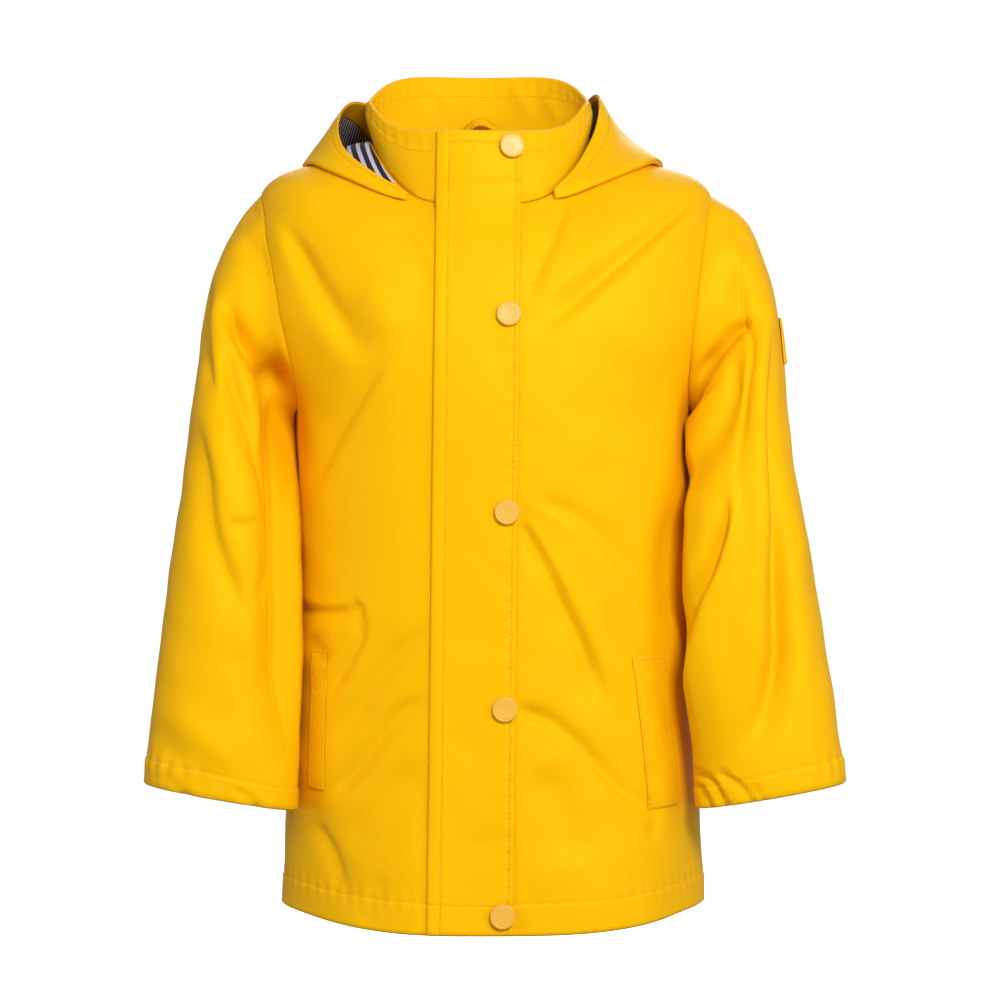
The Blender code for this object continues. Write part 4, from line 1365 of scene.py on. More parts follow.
SLEEVE_CREASES: dict[tuple[Side, bool], tuple[Crease, ...]] = {
    (Side.RIGHT, True): creases(
        (((-173.5, -73.5), (-162.5, -91.6), (-150.8, -107.9), (-140.4, -120.9), (-131.3, -131.9)),
         (4.6, 7.2), -12, 0, False, True),
        (((-167.7, -214.5), (-156, -216.5), (-141.7, -213.2)), (5.2, 5.2), -2.4, 0.08),
        (((-135.2, -244.4), (-140.4, -254.8), (-145.6, -266.5)), (5.2, 5.2), -2.4),
        (((-170.9, -99.4), (-164.4, -123.5), (-156.6, -146.2), (-146.9, -173.5), (-137.1, -204.7)),
         (5.8, 9.1), -6, 0.12),
        (((-180.7, -58.5), (-184, -82.5), (-182.6, -109.8), (-176.8, -136.5)), (5.8, 6.5), -5,
         0.12),
        (((-190.4, -143.6), (-185.9, -164.4), (-180.7, -188.5), (-176.8, -218.4), (-170.3, -239.2),
         (-161.2, -261.3), (-153.4, -282.8)), (8.4, 11.7), -4.8, 0.08),
        (((-158.6, -292.5), (-154.7, -313.3), (-145.6, -334.7)), (7.8, 7.8), -1.8),
        (((-204.1, -324.3), (-181.3, -350.3), (-154.7, -374.4)), (9.7, 9.7), 1.8),
        (((-215.1, -341.2), (-204.1, -356.2), (-193.7, -367.9)), (9.1, 7.8), -1.6),
        (((-150.8, -9.7), (-160.5, -20.8), (-169, -36.4)), (6.5, 6.5), -2),
        (((-165.1, -32.5), (-150.8, -44.2), (-142.4, -63.7)), (7.2, 6.5), -1.8),
        (((-222.3, -373.1), (-210.6, -375), (-197.6, -375.7)), (2.6, 2.6), -1, 0.12, True),
        (((-198.9, -379.6), (-193, -384.1), (-185.9, -389.3)), (2.6, 2.6), -1.8, 0.12, True,
         True),
        (((-187.2, -386.7), (-180.7, -391.3), (-172.2, -399.1)), (2.6, 2.6), -1.6, 0.12, True,
         True),
        (((-158.6, -383.5), (-151.5, -388.7), (-143, -397.2)), (2.6, 2.6), -2, 0.12, True,
         True),
    ),
    (Side.RIGHT, False): creases(
        (((-130, -120), (-148, -128), (-170, -118)), (4.8, 5.5), -3.4, 0.5),
        (((-134, -150), (-154, -168), (-180, -162)), (4.8, 6), -2.8, -0.5),
        (((-182, -190), (-166, -240), (-154, -300)), (6, 7.5), -2.2, -0.4),
        (((-136, -215), (-150, -226), (-168, -216)), (5, 6), -2.2, 0.4),
        (((-192, -250), (-188, -310), (-194, -360)), (6, 7), -1.6),
        (((-162, -48), (-148, -66), (-142, -92)), (6, 7), -2),
    ),
    (Side.LEFT, True): creases(
        (((157.9, -88.4), (150.2, -94.3), (142.4, -104), (134.6, -115), (126.1, -128)),
         (3.9, 5.8), -8.5, -0.12, True),
        (((144.9, -121.5), (137.8, -136.5), (130, -154.7), (124.8, -165.7)), (3.2, 3.9), -1.8,
         0.16),
        (((154, -104), (151.5, -128.7), (145.6, -149.5), (138.4, -169.6), (130.6, -189.8),
         (124.8, -211.2)), (5.2, 7.8), -5.6, -0.1),
        (((160.5, -41.6), (158.6, -63), (159.3, -85.8), (163.1, -104), (159.9, -128.7),
         (156, -159.3), (152.1, -193.7)), (2.6, 3.2), -2.6, -0.16),
        (((167.1, -33.8), (163.8, -40.3), (160.5, -50.7)), (2.6, 2.6), -1.6),
        (((179.4, -83.2), (178.7, -113.7), (178.1, -139.1), (178.7, -164.4), (180, -189.8),
         (180.7, -215.1), (178.7, -247.6), (177.4, -274.3), (176.8, -300.9), (170.9, -327.6),
         (161.2, -347.8), (149.5, -365.3)), (7.8, 13), -13, -0.08),
        (((146.9, -195), (145.6, -215.1), (141.7, -232.7), (137.8, -248.3), (131.9, -266.5),
         (126.8, -293.1), (123.5, -321.1)), (3.9, 5.2), -9, 0.24),
        (((148.2, -14.9), (156.6, -28.6), (166.4, -37)), (7.2, 6.5), -3),
        (((151.5, -44.2), (148.8, -59.8), (145.6, -76.7)), (5.8, 5.8), -1.8),
        (((127.4, -371.8), (136.5, -377.6), (144.3, -390), (149.5, -397.8)), (2.9, 2.9), -3.4,
         0.14, True, True),
        (((130.6, -382.2), (134.6, -390), (137.8, -399.1)), (2.6, 2.6), -3.2, 0.12, True, True),
        (((141.7, -372.5), (154.7, -380.2), (163.8, -391.9)), (2.9, 2.6), -2.6, 0.14, True, True),
        (((163.1, -380.2), (167.1, -385.4), (170.9, -391.9)), (2.3, 2.3), -1.6, 0.12, True, True),
        (((198.9, -227.5), (204.1, -279.5), (206.7, -331.5)), (7.8, 7.8), -1.8),
        (((166.4, -240.5), (159.9, -266.5), (157.3, -305.5)), (6.5, 7.8), 1.6),
    ),
    (Side.LEFT, False): creases(
        (((129, -118), (146, -126), (168, -114)), (4.6, 5.5), -3.4, -0.5),
        (((132, -146), (152, -160), (176, -156)), (4.6, 5.5), -2.6, 0.5),
        (((179, -180), (165, -235), (156, -295)), (6, 7.5), -2.2, 0.4),
        (((134, -205), (148, -218), (164, -212)), (4.8, 6), -2, -0.4),
        (((188, -255), (185, -320), (192, -365)), (6, 7), -1.6),
        (((160, -46), (146, -64), (140, -90)), (6, 7), -2),
    ),
}


@dataclass
class Sleeve:
    """A set-in sleeve with a stitched cuff hem."""

    side: Side
    cut: Cut
    cloth: float = 0.0015
    cuff_band: float = 0.0160
    cuff_build: float = 0.0005
    cuff_inside: float = 0.0010
    cuff_groove: Groove = Groove(0.00050, 0.0009)
    cuff_puckers: Puckers = Puckers(0.00075, 0.0105, 0.0070, 2.1, 47.0)
    puckers_below: float = 0.003
    armhole_groove: Groove = Groove(0.00025, 0.0012)
    unevenness: float = 0.00045
    smooth_start: float = 0.28
    start_rings: tuple[float, ...] = (0.0, 0.03, 0.07, 0.12, 0.18)
    rows: int = 174
    columns: int = 140

    def __post_init__(self) -> None:
        """Take the side's surface."""
        self.surface = SleeveSurface(self.side)

    @property
    def name(self) -> str:
        """The sleeve's node."""
        return f"sleeve_{self.side.value}"

    def dressed(self, around: Grid, along: Grid) -> tuple[Grid, Grid, Grid]:
        """The sleeve's plain points, its normals and how far its cloth is moved.

        Args:
            around: Angles round the sleeve, one for each column.
            along: Fractional rings, one for each row.

        Returns:
            Points, normals and moves, each as a grid.
        """
        base = self.surface.base(around, along)
        normal = self.surface.normal(around, along)
        lift = self.surface.lift(around, along, base)
        x, z = base[..., 0], base[..., 2]
        facing = np.sin(np.radians(around))[None, :]
        front = relief(SLEEVE_CREASES[self.side, True], x, z) * smoothstep(facing, 0.02, 0.35)
        back = relief(SLEEVE_CREASES[self.side, False], x, z) * smoothstep(-facing, 0.02, 0.35)
        start = smoothstep(along, 0.0, self.smooth_start)[:, None]
        lift = lift + (front + back) * start + undulation(base, self.unevenness) * start
        return base, normal, lift

    def patch(self, around: Grid, along: Grid, out: Grid) -> Grid:
        """Points that lie out from the dressed sleeve."""
        base, normal, lift = self.dressed(around, along)
        return base + normal * (lift + out)[..., None]

    def cuff_row(self) -> float:
        """The ring number of the cuff's stitches.

        Returns:
            A fractional ring.
        """
        rows = np.linspace(self.surface.last, self.surface.last - 1.0, 200)
        gone = lengths(self.surface.base(np.array([0.0]), rows))[1][:, 0]
        return float(np.interp(self.cuff_band, gone, rows))

    def build(self) -> None:
        """Build the sleeve and its sewing."""
        around = np.arange(self.columns) * 360.0 / self.columns
        plain = np.linspace(0.25, self.surface.last, self.rows)
        along = np.unique(np.concatenate((self.start_rings, plain)))
        cuff = self.cuff_row()
        along = with_dense(along, [cuff], half=0.045)
        base, normal, lift = self.dressed(around, along)
        across, down = lengths(base)
        lift = lift - self.armhole_groove.dip(down)
        away = down - down[along.searchsorted(cuff)][None, :]
        band = smoothstep(away, *HEM_STEP)
        uneven = 0.45 + 0.55 * np.sin(across * 37.0 + 0.8)
        lift = lift + self.cuff_build * band - self.cuff_groove.dip(away)
        lift = lift + self.cuff_puckers.lift(across, away - self.puckers_below) * uneven
        outer = base + normal * lift[..., None]
        inner = base + normal * (lift - self.cloth - self.cuff_inside * band)[..., None]
        inner[0] = outer[0] + self.surface.inward(around, normal[0]) * self.cloth
        sewing = Sewing()
        k = int(along.searchsorted(cuff))
        ring = np.concatenate((outer[k], outer[k, :1]))
        sewing.row(ring, np.concatenate((normal[k], normal[k, :1])))
        wall = Wall(outer, inner, tube=True, rims=(SEAM_RIM, RIM, SEAM_RIM, SEAM_RIM))
        settle_sewn(wall, self.name, sewing, "cuff_stitches")


@dataclass
class SleeveTab:
    """The plain tab on the outside of the left sleeve, stitched round its edge."""

    sleeve: Sleeve
    cut: Cut
    first_around: float = -13.0
    last_around: float = 13.0
    first_along: float = 2.78
    last_along: float = 3.30
    columns: int = 25
    rows: int = 29
    lift: float = 0.0006
    cloth: float = 0.0012
    margin: float = 0.0018

    def build(self) -> None:
        """Build the tab."""
        around = np.linspace(self.first_around, self.last_around, self.columns)
        along = np.linspace(self.first_along, self.last_along, self.rows)
        inner = self.sleeve.patch(around, along, self.lift)
        outer = self.sleeve.patch(around, along, self.lift + self.cloth)
        sewing = Sewing(Thread(length=0.0018, gap=0.0007))
        across, down = lengths(outer)
        _, normal, _ = self.sleeve.dressed(around, along)
        for rows, columns in inset_lines(across, down, self.margin):
            sewing.row(outer[rows, columns], normal[rows, columns])
        settle_sewn(Wall(outer, inner), "sleeve_tab", sewing)


def inset_lines(across: Grid, along: Grid, margin: float) -> list[tuple[Grid, Grid]]:
    """Index lines that run a margin inside a grid's four edges.

    Args:
        across: Each point's distance along its row.
        along: Each point's distance down its column.
        margin: How far inside the edges, in metres.

    Returns:
        Row and column numbers for each of the four lines.
    """
    rows, columns = across.shape
    left = int(np.abs(across[rows // 2] - margin).argmin())
    right = int(np.abs(across[rows // 2, -1] - margin - across[rows // 2]).argmin())
    top = int(np.abs(along[:, columns // 2] - margin).argmin())
    bottom = int(np.abs(along[-1, columns // 2] - margin - along[:, columns // 2]).argmin())
    down, over = np.arange(top, bottom + 1), np.arange(left, right + 1)
    return [
        (np.full(len(over), top), over), (np.full(len(over), bottom), over),
        (down, np.full(len(down), left)), (down, np.full(len(down), right)),
    ]


# ---------------------------------------------------------------- collar, flap, welts

COLLAR_INSIDE_CREASES = creases(
    (((-50, 70), (-40, 60), (-34, 48)), (4.5, 4.5), 1.6),
    (((-26, 74), (-16, 60), (-13, 46)), (4.5, 5), 1.4),
    (((10, 74), (20, 62), (26, 48)), (4.2, 5), 1.5),
    (((34, 68), (40, 56), (46, 46)), (4, 4.2), 1.3),
)


@dataclass
class Collar:
    """The stand-up collar, topstitched under its top edge."""

    cloth: float = 0.0026
    topstitch: float = 0.0070
    stitch_groove: Groove = Groove(0.00030, 0.0009)
    neck_groove: Groove = Groove(0.0004, 0.0016)
    puckers: Puckers = Puckers(0.0003, 0.0093, 0.0050, 1.9, 41.0)
    even_at_neck: float = 0.006
    corner_drop: float = 0.0026
    corner_turns: float = 13.0
    front_columns: int = 56
    back_columns: int = 112
    rows: int = 44
    unevenness: float = 0.00030
    cut: Cut = Cut(0.440, 0.060, 0.0195)

    def build(self) -> None:
        """Build the collar and its topstitching."""
        last = COLLAR.last_row
        stitch = COLLAR.row_at(180.0, -self.topstitch, last)
        rows = with_dense(np.linspace(0.0, last, self.rows), [stitch], half=0.055)
        start = COLLAR.turn_at_x(rows, flap_centre(COLLAR, rows))[:, None]
        front = np.linspace(0.0, 1.0, self.front_columns + 1)[None, :]
        back = np.linspace(180.0, 360.0, self.back_columns + 1)[None, 1:-1]
        turn = np.concatenate(
            (start + (180.0 - start) * front, np.broadcast_to(back, (len(rows), back.shape[1])),
             360.0 + start * front), axis=1,
        )
        row = np.broadcast_to(rows[:, None], turn.shape)
        base, normal = COLLAR.base(turn, row), COLLAR.normal(turn, row)
        across, along = lengths(base)
        away = along[-1:] - along - self.topstitch
        lift = undulation(base, self.unevenness) * smoothstep(along, 0.0, self.even_at_neck)
        lift = lift - self.stitch_groove.dip(away) - self.neck_groove.dip(along)
        lift = lift + self.puckers.lift(across, away)
        facing = smoothstep(-np.sin(np.radians(turn)), 0.0, 0.4)
        inside = relief(COLLAR_INSIDE_CREASES, base[..., 0], base[..., 2]) * facing
        outer = base + normal * lift[..., None]
        inner = base + normal * (lift - self.cloth - inside)[..., None]
        ends = bump(turn - 180.0, self.corner_turns) + bump(turn - 360.0, self.corner_turns)
        for grid in (outer, inner):
            grid[..., 2] -= self.corner_drop * ends * smoothstep(row, 0.5 * last, last)
            pull_in(grid, rows=False, columns=True)
            grid[0] += unit(grid[1] - grid[0]) * SEAM_GAP / 2.0
        sewing = Sewing()
        k = int(rows.searchsorted(stitch))
        sewing.row(outer[k], normal[k])
        sewing.row(inner[k], -normal[k])
        wall = Wall(outer, inner, rims=(SEAM_RIM, RIM, SEAM_RIM, SEAM_RIM))
        settle_sewn(wall, "collar", sewing)


FLAP_CREASES = creases(
    (((-27, -6), (-26.2, -30), (-27.5, -62)), (5.8, 6.2), -1.1),
    (((-29, -282), (-14, -290), (6, -288)), (9, 9), -1),
    (((-29, -346), (-16, -356), (2, -372)), (9, 10), -1.1),
    (((-20, -424), (-3, -416), (12, -417)), (9, 9), -0.9),
    (((0, -100), (6, -116), (6, -138)), (9, 9), -0.8),
)


@dataclass
class StormFlap:
    """The storm flap, hem to collar top, with a welt along its sewn edge."""

    clearance: float = 0.0006
    cloth: float = 0.0014
    welt_width: float = 0.0080
    welt_rise: float = 0.0010
    welt_fullness: float = 0.8
    welt_groove: Groove = Groove(0.0004, 0.0007)
    edge_groove: Groove = Groove(0.00035, 0.0008)
    edge_puckers: Puckers = Puckers(0.00022, 0.0110, 0.0045, 1.6, 29.0)
    end_groove: Groove = Groove(0.0003, 0.0009)
    crease_start: float = 0.004
    unevenness: float = 0.00015
    edge_margin: float = 0.0028
    hem_margin: float = 0.0180
    collar_margin: float = 0.0070
    skirt_rings: int = 20
    armhole_rings: int = 6
    shoulder_rings: int = 4
    collar_rings: tuple[float, ...] = (0.3, 0.8, 1.4)
    rows: int = 250
    columns: int = 40
    welt_columns: int = 12
    cut: Cut = Cut(0.054, 0.560, 0.0302)

    def control_rows(self) -> list[tuple[RingSurface, float]]:
        """The rings that the flap is drawn over, hem to collar top.

        Returns:
            For each ring its surface and its row there.
        """
        spans = (
            (HEM_ROW, ARMPIT_ROW, self.skirt_rings), (ARMPIT_ROW, TIP_ROW, self.armhole_rings),
            (TIP_ROW, NECK_ROW, self.shoulder_rings),
        )
        body = [
            (BODY, row) for low, high, count in spans
            for row in np.linspace(low, high, count + 1)[:-1]
        ]
        return body + [(COLLAR, row) for row in (*self.collar_rings, COLLAR.last_row)]

    def build(self) -> None:
        """Build the flap and its sewing."""
        offsets = with_dense(
            np.linspace(0.0, FLAP_WIDTH, self.columns),
            [self.welt_width, FLAP_WIDTH - self.edge_margin], half=0.0012,
        )
        welt = np.linspace(0.0, self.welt_width, self.welt_columns)
        offsets = np.unique(np.concatenate((offsets, welt)))
        control = []
        for surface, row in self.control_rows():
            edge = flap_centre(surface, row) - FLAP_WIDTH / 2.0
            turns = surface.turn_at_x(np.full(len(offsets), row), edge + offsets)
            control.append(surface.point(turns, np.full(len(offsets), row), self.clearance))
        control = np.array(control)
        at = np.linspace(0.0, len(control) - 1.0, self.rows)
        gone = lengths(smooth_through(control, at))[1][:, len(offsets) // 2]
        hem = float(np.interp(self.hem_margin, gone, at))
        top = float(np.interp(gone[-1] - self.collar_margin, gone, at))
        at = with_dense(at, [hem, top], half=0.10)
        inner = smooth_through(control, at)
        normal = grid_normals(inner)
        if normal[..., 1].mean() > 0.0:
            normal = -normal
        across, along = lengths(inner)
        share = np.clip(across / self.welt_width, 0.0, 1.0)
        round_over = np.sqrt(np.maximum(0.0, 1.0 - (2.0 * share - 1.0) ** 2))
        rise = self.welt_rise * round_over**self.welt_fullness
        rise = np.where(across < self.welt_width, rise, 0.0)
        beside = across[:, -1:] - across - self.edge_margin
        lift = relief(FLAP_CREASES, inner[..., 0], inner[..., 2])
        lift = lift * smoothstep(across, self.welt_width, self.welt_width + self.crease_start)
        lift = lift - self.welt_groove.dip(across - self.welt_width)
        lift = lift - self.edge_groove.dip(beside) + self.edge_puckers.lift(along, beside)
        for place in (hem, top):
            lift = lift - self.end_groove.dip(along - along[at.searchsorted(place)][None, :])
        lift = lift + undulation(inner, self.unevenness) + rise
        outer = inner + normal * (self.cloth + lift)[..., None]
        sewing = Sewing()
        for column in (self.welt_width, FLAP_WIDTH - self.edge_margin):
            k = int(np.abs(offsets - column).argmin())
            sewing.row(outer[:, k], normal[:, k])
        after = int(np.abs(offsets - self.welt_width).argmin())
        for place in (hem, top):
            k = int(at.searchsorted(place))
            sewing.row(outer[k, after:], normal[k, after:])
        settle_sewn(Wall(outer, inner), "storm_flap", sewing)


@dataclass
class PocketWelt:
    """A slanted pocket welt, laid on its front and stitched down."""

    side: Side
    top_x: float
    bottom_x: float
    top_z: float
    bottom_z: float
    width: float
    cut: Cut
    clearance: float = 0.00030
    cloth: float = 0.0006
    margin: float = 0.0016
    stitch_groove: Groove = Groove(0.00025, 0.0007)
    rows: int = 72
    columns: int = 20
    widest_turn: float = 40.0
    turn_samples: int = 160
    height_samples: int = 1200

    def build(self) -> None:
        """Build the welt and its sewing."""
        outward = 1.0 if self.side is Side.LEFT else -1.0
        steps = np.linspace(0.0, self.width, self.columns)
        rows = np.linspace(0.0, 1.0, self.rows)
        sample = np.linspace(HEM_ROW, NECK_ROW, self.height_samples)
        heights = BODY.base(self.widest_turn, sample)[..., 2]
        row = np.interp(self.top_z + (self.bottom_z - self.top_z) * rows, heights, sample)
        first = BODY.turn_at_x(row, self.top_x + (self.bottom_x - self.top_x) * rows)
        fine = np.linspace(0.0, self.widest_turn, self.turn_samples)
        turn = []
        for start, at in zip(first, row):
            turns = start - outward * fine
            gone = lengths(BODY.base(turns, np.full(len(turns), at))[:, None, :])[1][:, 0]
            turn.append(np.interp(steps, gone, turns))
        turn, row = np.array(turn), np.broadcast_to(row[:, None], (len(rows), len(steps)))
        normal = BODY.normal(turn, row)
        inner = DRESSED_BODY.point(turn, row, self.clearance)
        outer = DRESSED_BODY.point(turn, row, self.clearance + self.cloth)
        across, along = lengths(outer)
        edge = np.minimum(
            np.minimum(across, across[:, -1:] - across), np.minimum(along, along[-1:] - along)
        )
        outer = outer - normal * self.stitch_groove.dip(edge - self.margin)[..., None]
        sewing = Sewing(Thread(length=0.0022, gap=0.0008))
        for lines in inset_lines(across, along, self.margin):
            sewing.row(outer[lines], normal[lines])
        settle_sewn(Wall(outer, inner), f"pocket_welt_{self.side.value}", sewing)


# ---------------------------------------------------------------- the hood's pieces

@dataclass
class Hood:
    """The folded hood: outer halves, plain facing at the brim and striped lining."""

    cloth: float = 0.0008
    lining_cloth: float = 0.0006
    facing_from_step: float = 6.55
    facing_from_place: float = 0.45
    facing_narrowing: float = 0.33
    lining_from_step: float = 0.06
    lining_from_place: float = 0.50
    facing_change: Pair = (7.2, 8.8)
    trim: float = 0.00045
    seam_groove: Groove = Groove(0.00045, 0.0014)
    stitch_groove: Groove = Groove(0.00030, 0.0009)
    unevenness: float = 0.00040
    free_steps: Pair = (3.4, 4.4)
    even_ends: Pair = (0.3, 1.6)
    fold_step: float = 5.0
    half_rows: int = 102
    half_columns: tuple[int, int, int] = (16, 46, 56)
    facing_rows: int = 220
    facing_columns: int = 12
    lining_rows: int = 90
    lining_columns: int = 120
    fine_columns: int = 480
    outer_cut: Cut = Cut(0.300, 0.220, 0.0500, Held.FOLDED)
    facing_cut: Cut = Cut(0.560, 0.017, 0.0093, Held.FOLDED)
    lining_cut: Cut = Cut(0.270, 0.205, 0.0400, Held.FOLDED)

    def layer(self, places: Grid, steps: Grid, depth: float, lift: Grid) -> Grid:
        """The hood's cloth at a depth below its outer face.

        Args:
            places: Fractional stations, one row each.
            steps: Steps from neck seam to brim, one column each.
            depth: How far in, in metres.
            lift: Moves out of the whole cloth.

        Returns:
            A grid of points.
        """
        return HOOD.point(places, steps) + HOOD.inward(places, steps) * (depth - lift)[..., None]

    def uneven(self, places: Grid, steps: Grid) -> Grid:
        """The hood's slight unevenness, none where it lies against the body.

        Args:
            places: Fractional stations.
            steps: Fractional steps from neck to brim.

        Returns:
            A grid of moves, in metres.
        """
        points = HOOD.point(places, steps)
        free = smoothstep(np.asarray(steps), *self.free_steps)[None, :]
        ends = smoothstep(places, *self.even_ends) * smoothstep(HOOD.last - places, *self.even_ends)
        return undulation(points, self.unevenness) * free * ends[:, None]

    def halves(self) -> None:
        """The two outer halves, with a centre seam and a stitched brim."""
        for side in Side:
            first, last = (0.0, HOOD_MIDDLE) if side is Side.RIGHT else (HOOD_MIDDLE, HOOD.last)
            places = np.linspace(first, last, self.half_rows)
            ends = (0.0, HOOD_LAID_STEPS, self.fold_step, HOOD_LAST_STEP)
            spans = zip(ends[:-1], ends[1:], self.half_columns)
            steps = np.unique(np.concatenate([np.linspace(*span) for span in spans]))
            steps = with_dense(steps, [self.facing_from_step], half=0.05, count=3)
            points = HOOD.point(places, steps)
            along, across = lengths(points)
            seam = across[-1:] - across if side is Side.RIGHT else across
            plain = self.uneven(places, steps)
            k = int(steps.searchsorted(self.facing_from_step))
            stitched = along - along[:, k : k + 1]
            lift = plain - self.seam_groove.dip(seam) - self.stitch_groove.dip(stitched)
            outer = self.layer(places, steps, 0.0, lift)
            inner = self.layer(places, steps, self.cloth, plain)
            for grid in (outer, inner):
                swapped = np.swapaxes(grid, 0, 1)
                pull_in(swapped, rows=False, columns=True)
            sewing = Sewing()
            normal = -HOOD.inward(places, steps)
            sewing.row(outer[:, k], normal[:, k])
            beside = 2 if side is Side.LEFT else len(places) - 3
            free = steps > HOOD_LAID_STEPS + 0.2
            sewing.row(outer[beside][free], normal[beside][free])
            settle_sewn(Wall(outer, inner), f"hood_{side.value}", sewing)

    def facing_edge(self, places: Grid) -> Grid:
        """The step where the facing meets the lining, nearer the brim on the left."""
        change = smoothstep(places, *self.facing_change)
        return self.facing_from_step + self.facing_narrowing * change

    def strip(
        self, name: str, places: Grid, first: Grid, last: Grid, columns: int,
        slot: Slot, finish: "Finish", cut: Cut,
    ) -> None:
        """One lined-side piece, trimmed all round.

        Args:
            name: The piece's node.
            places: Its fractional stations.
            first: The step of its edge nearer the neck at each station.
            last: The step of its other edge at each station.
            columns: How many columns it has.
            slot: The record's slot; not used.
            finish: Its material.
            cut: Its flat cut; not used.
        """
        depth = self.cloth + SEAM_GAP
        fine = np.linspace(0.0, HOOD_LAST_STEP, self.fine_columns)
        lift = self.uneven(places, fine)
        first, last = np.broadcast_to(first, places.shape), np.broadcast_to(last, places.shape)
        steps = first[:, None] + (last - first)[:, None] * np.linspace(0.0, 1.0, columns)
        faces = []
        for below in (depth, depth + self.lining_cloth):
            grid = self.layer(places, fine, below, lift)
            rows = [
                np.stack([np.interp(at, fine, row[:, axis]) for axis in range(3)], axis=-1)
                for at, row in zip(steps, grid)
            ]
            face = np.array(rows)
            for swapped in (face, np.swapaxes(face, 0, 1)):
                pull_in(swapped, rows=False, columns=True, amount=self.trim)
            faces.append(face)
        piece = Wall(faces[1], faces[0]).build(name + "_cloth")
        settle(piece, name, finish)

    def build(self) -> None:
        """Build all the hood's pieces."""
        self.halves()
        ends = self.facing_from_place, HOOD.last - self.facing_from_place
        places = np.linspace(*ends, self.facing_rows)
        self.strip(
            "hood_facing", places, self.facing_edge(places), np.array(HOOD_LAST_STEP),
            self.facing_columns, Slot.CLOTH, COATED_CLOTH, self.facing_cut,
        )
        for side in Side:
            first = self.lining_from_place if side is Side.RIGHT else HOOD_MIDDLE
            last = HOOD_MIDDLE if side is Side.RIGHT else HOOD.last - self.lining_from_place
            places = np.linspace(first, last, self.lining_rows)
            self.strip(
                f"hood_lining_{side.value}", places, np.array(self.lining_from_step),
                self.facing_edge(places), self.lining_columns,
                Slot.LINING, STRIPED_LINING, self.lining_cut,
            )


@dataclass
class HangerLoop:
    """A short folded strip inside the back of the collar, bowed to take a hook."""

    half_length: float = 0.0135
    width: float = 0.0050
    thickness: float = 0.0014
    bulge: float = 0.0075
    rise: float = 0.0070
    bow_power: float = 1.2
    collar_cloth: float = 0.0026
    foot_ring: float = 0.30
    ring_height: float = 0.022
    back_turns: Pair = (181.0, 359.0)
    turn_samples: int = 900
    columns: int = 49
    lines: int = 7
    cut: Cut = Cut(0.032, 0.0102, 0.00024, Held.LAID, ("collar_cloth",))

    def place(self, x: Grid, height: Grid, bow: Grid, depth: float) -> Grid:
        """Points of the strip.

        Args:
            x: Across, from its middle.
            height: Above its ends.
            bow: How far it stands off the collar, from 0 to 1.
            depth: How deep in the strip.

        Returns:
            Points.
        """
        row = self.foot_ring + height / self.ring_height
        turns = np.linspace(*self.back_turns, self.turn_samples)
        shift = COLLAR_RINGS[0][-1]
        points = []
        for px, at, stand in zip(x, row, bow):
            turn = np.interp(px + shift, COLLAR.base(turns, at)[..., 0], turns)
            seat = COLLAR.point(turn, at, -self.collar_cloth - SEAM_GAP)
            points.append(seat + np.array((0.0, -1.0, 0.0)) * (self.bulge * stand + depth))
        return np.array(points)

    def build(self) -> None:
        """Build the strip."""
        share = np.linspace(-1.0, 1.0, self.columns)
        bow = np.maximum(np.cos(share * math.pi / 2.0), 0.0) ** self.bow_power
        x = share * self.half_length
        layers = []
        for depth in (0.0, self.thickness):
            lines = [
                self.place(x, self.rise * bow + edge * self.width, bow, depth)
                for edge in np.linspace(-0.5, 0.5, self.lines)
            ]
            layers.append(np.swapaxes(np.array(lines), 0, 1))
        sewing = Sewing(Thread(length=0.0020, gap=0.0008))
        normal = grid_normals(layers[1])
        if normal[..., 1].mean() > 0.0:
            normal = -normal
        for column in (1, -2):
            sewing.row(layers[1][:, column], normal[:, column])
        settle_sewn(Wall(layers[1], layers[0]), "hang_loop", sewing)


# the cap's section from the middle out: share of its radius, share of its height
SNAP_PROFILE = (
    (0.0, 0.905), (0.25, 0.91), (0.50, 0.935), (0.66, 0.965), (0.74, 0.97), (0.775, 0.945),
    (0.80, 0.945), (0.835, 0.985), (0.88, 1.0), (0.925, 0.965), (0.965, 0.86), (0.99, 0.66),
    (1.0, 0.42), (0.992, 0.16), (0.96, 0.0), (0.0, 0.0),
)


@dataclass
class SnapCap:
    """A round snap cap, turned from one profile, in its solid's seat."""

    number: int
    radius: float = 0.0080
    height: float = 0.0024
    steps: int = 72

    def build(self) -> None:
        """Build the cap on its solid's axis."""
        node = f"snap_cap_{self.number}"
        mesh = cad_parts[node].data
        points = np.empty(len(mesh.vertices) * 3)
        mesh.vertices.foreach_get("co", points)
        points = points.reshape(-1, 3)
        centre = points.mean(axis=0)
        axis = np.linalg.svd(points - centre)[2][-1]
        axis = axis if axis[1] < 0.0 else -axis
        seat = centre + axis * ((points - centre) @ axis).min()
        side = unit(np.cross(axis, (0.0, 0.0, 1.0)))
        up = np.cross(side, axis)
        angle = np.radians(np.arange(self.steps) * 360.0 / self.steps)
        ring = side * np.cos(angle)[:, None] + up * np.sin(angle)[:, None]
        profile = np.array(SNAP_PROFILE) * (self.radius, self.height)
        placed = seat + profile[:, :1, None] * ring[None] + (profile[:, 1:, None] * axis)
        index = np.arange(len(profile) * self.steps).reshape(len(profile), self.steps)
        turned = np.roll(index, -1, axis=1)
        quads = np.stack((index[:-1], index[1:], turned[1:], turned[:-1]), axis=-1).reshape(-1, 4)
        cap = new_mesh_object(node + "_cap", placed.reshape(-1, 3), quads)
        settle(cap, node, SNAP_PLASTIC)


# ---------------------------------------------------------------- finishes

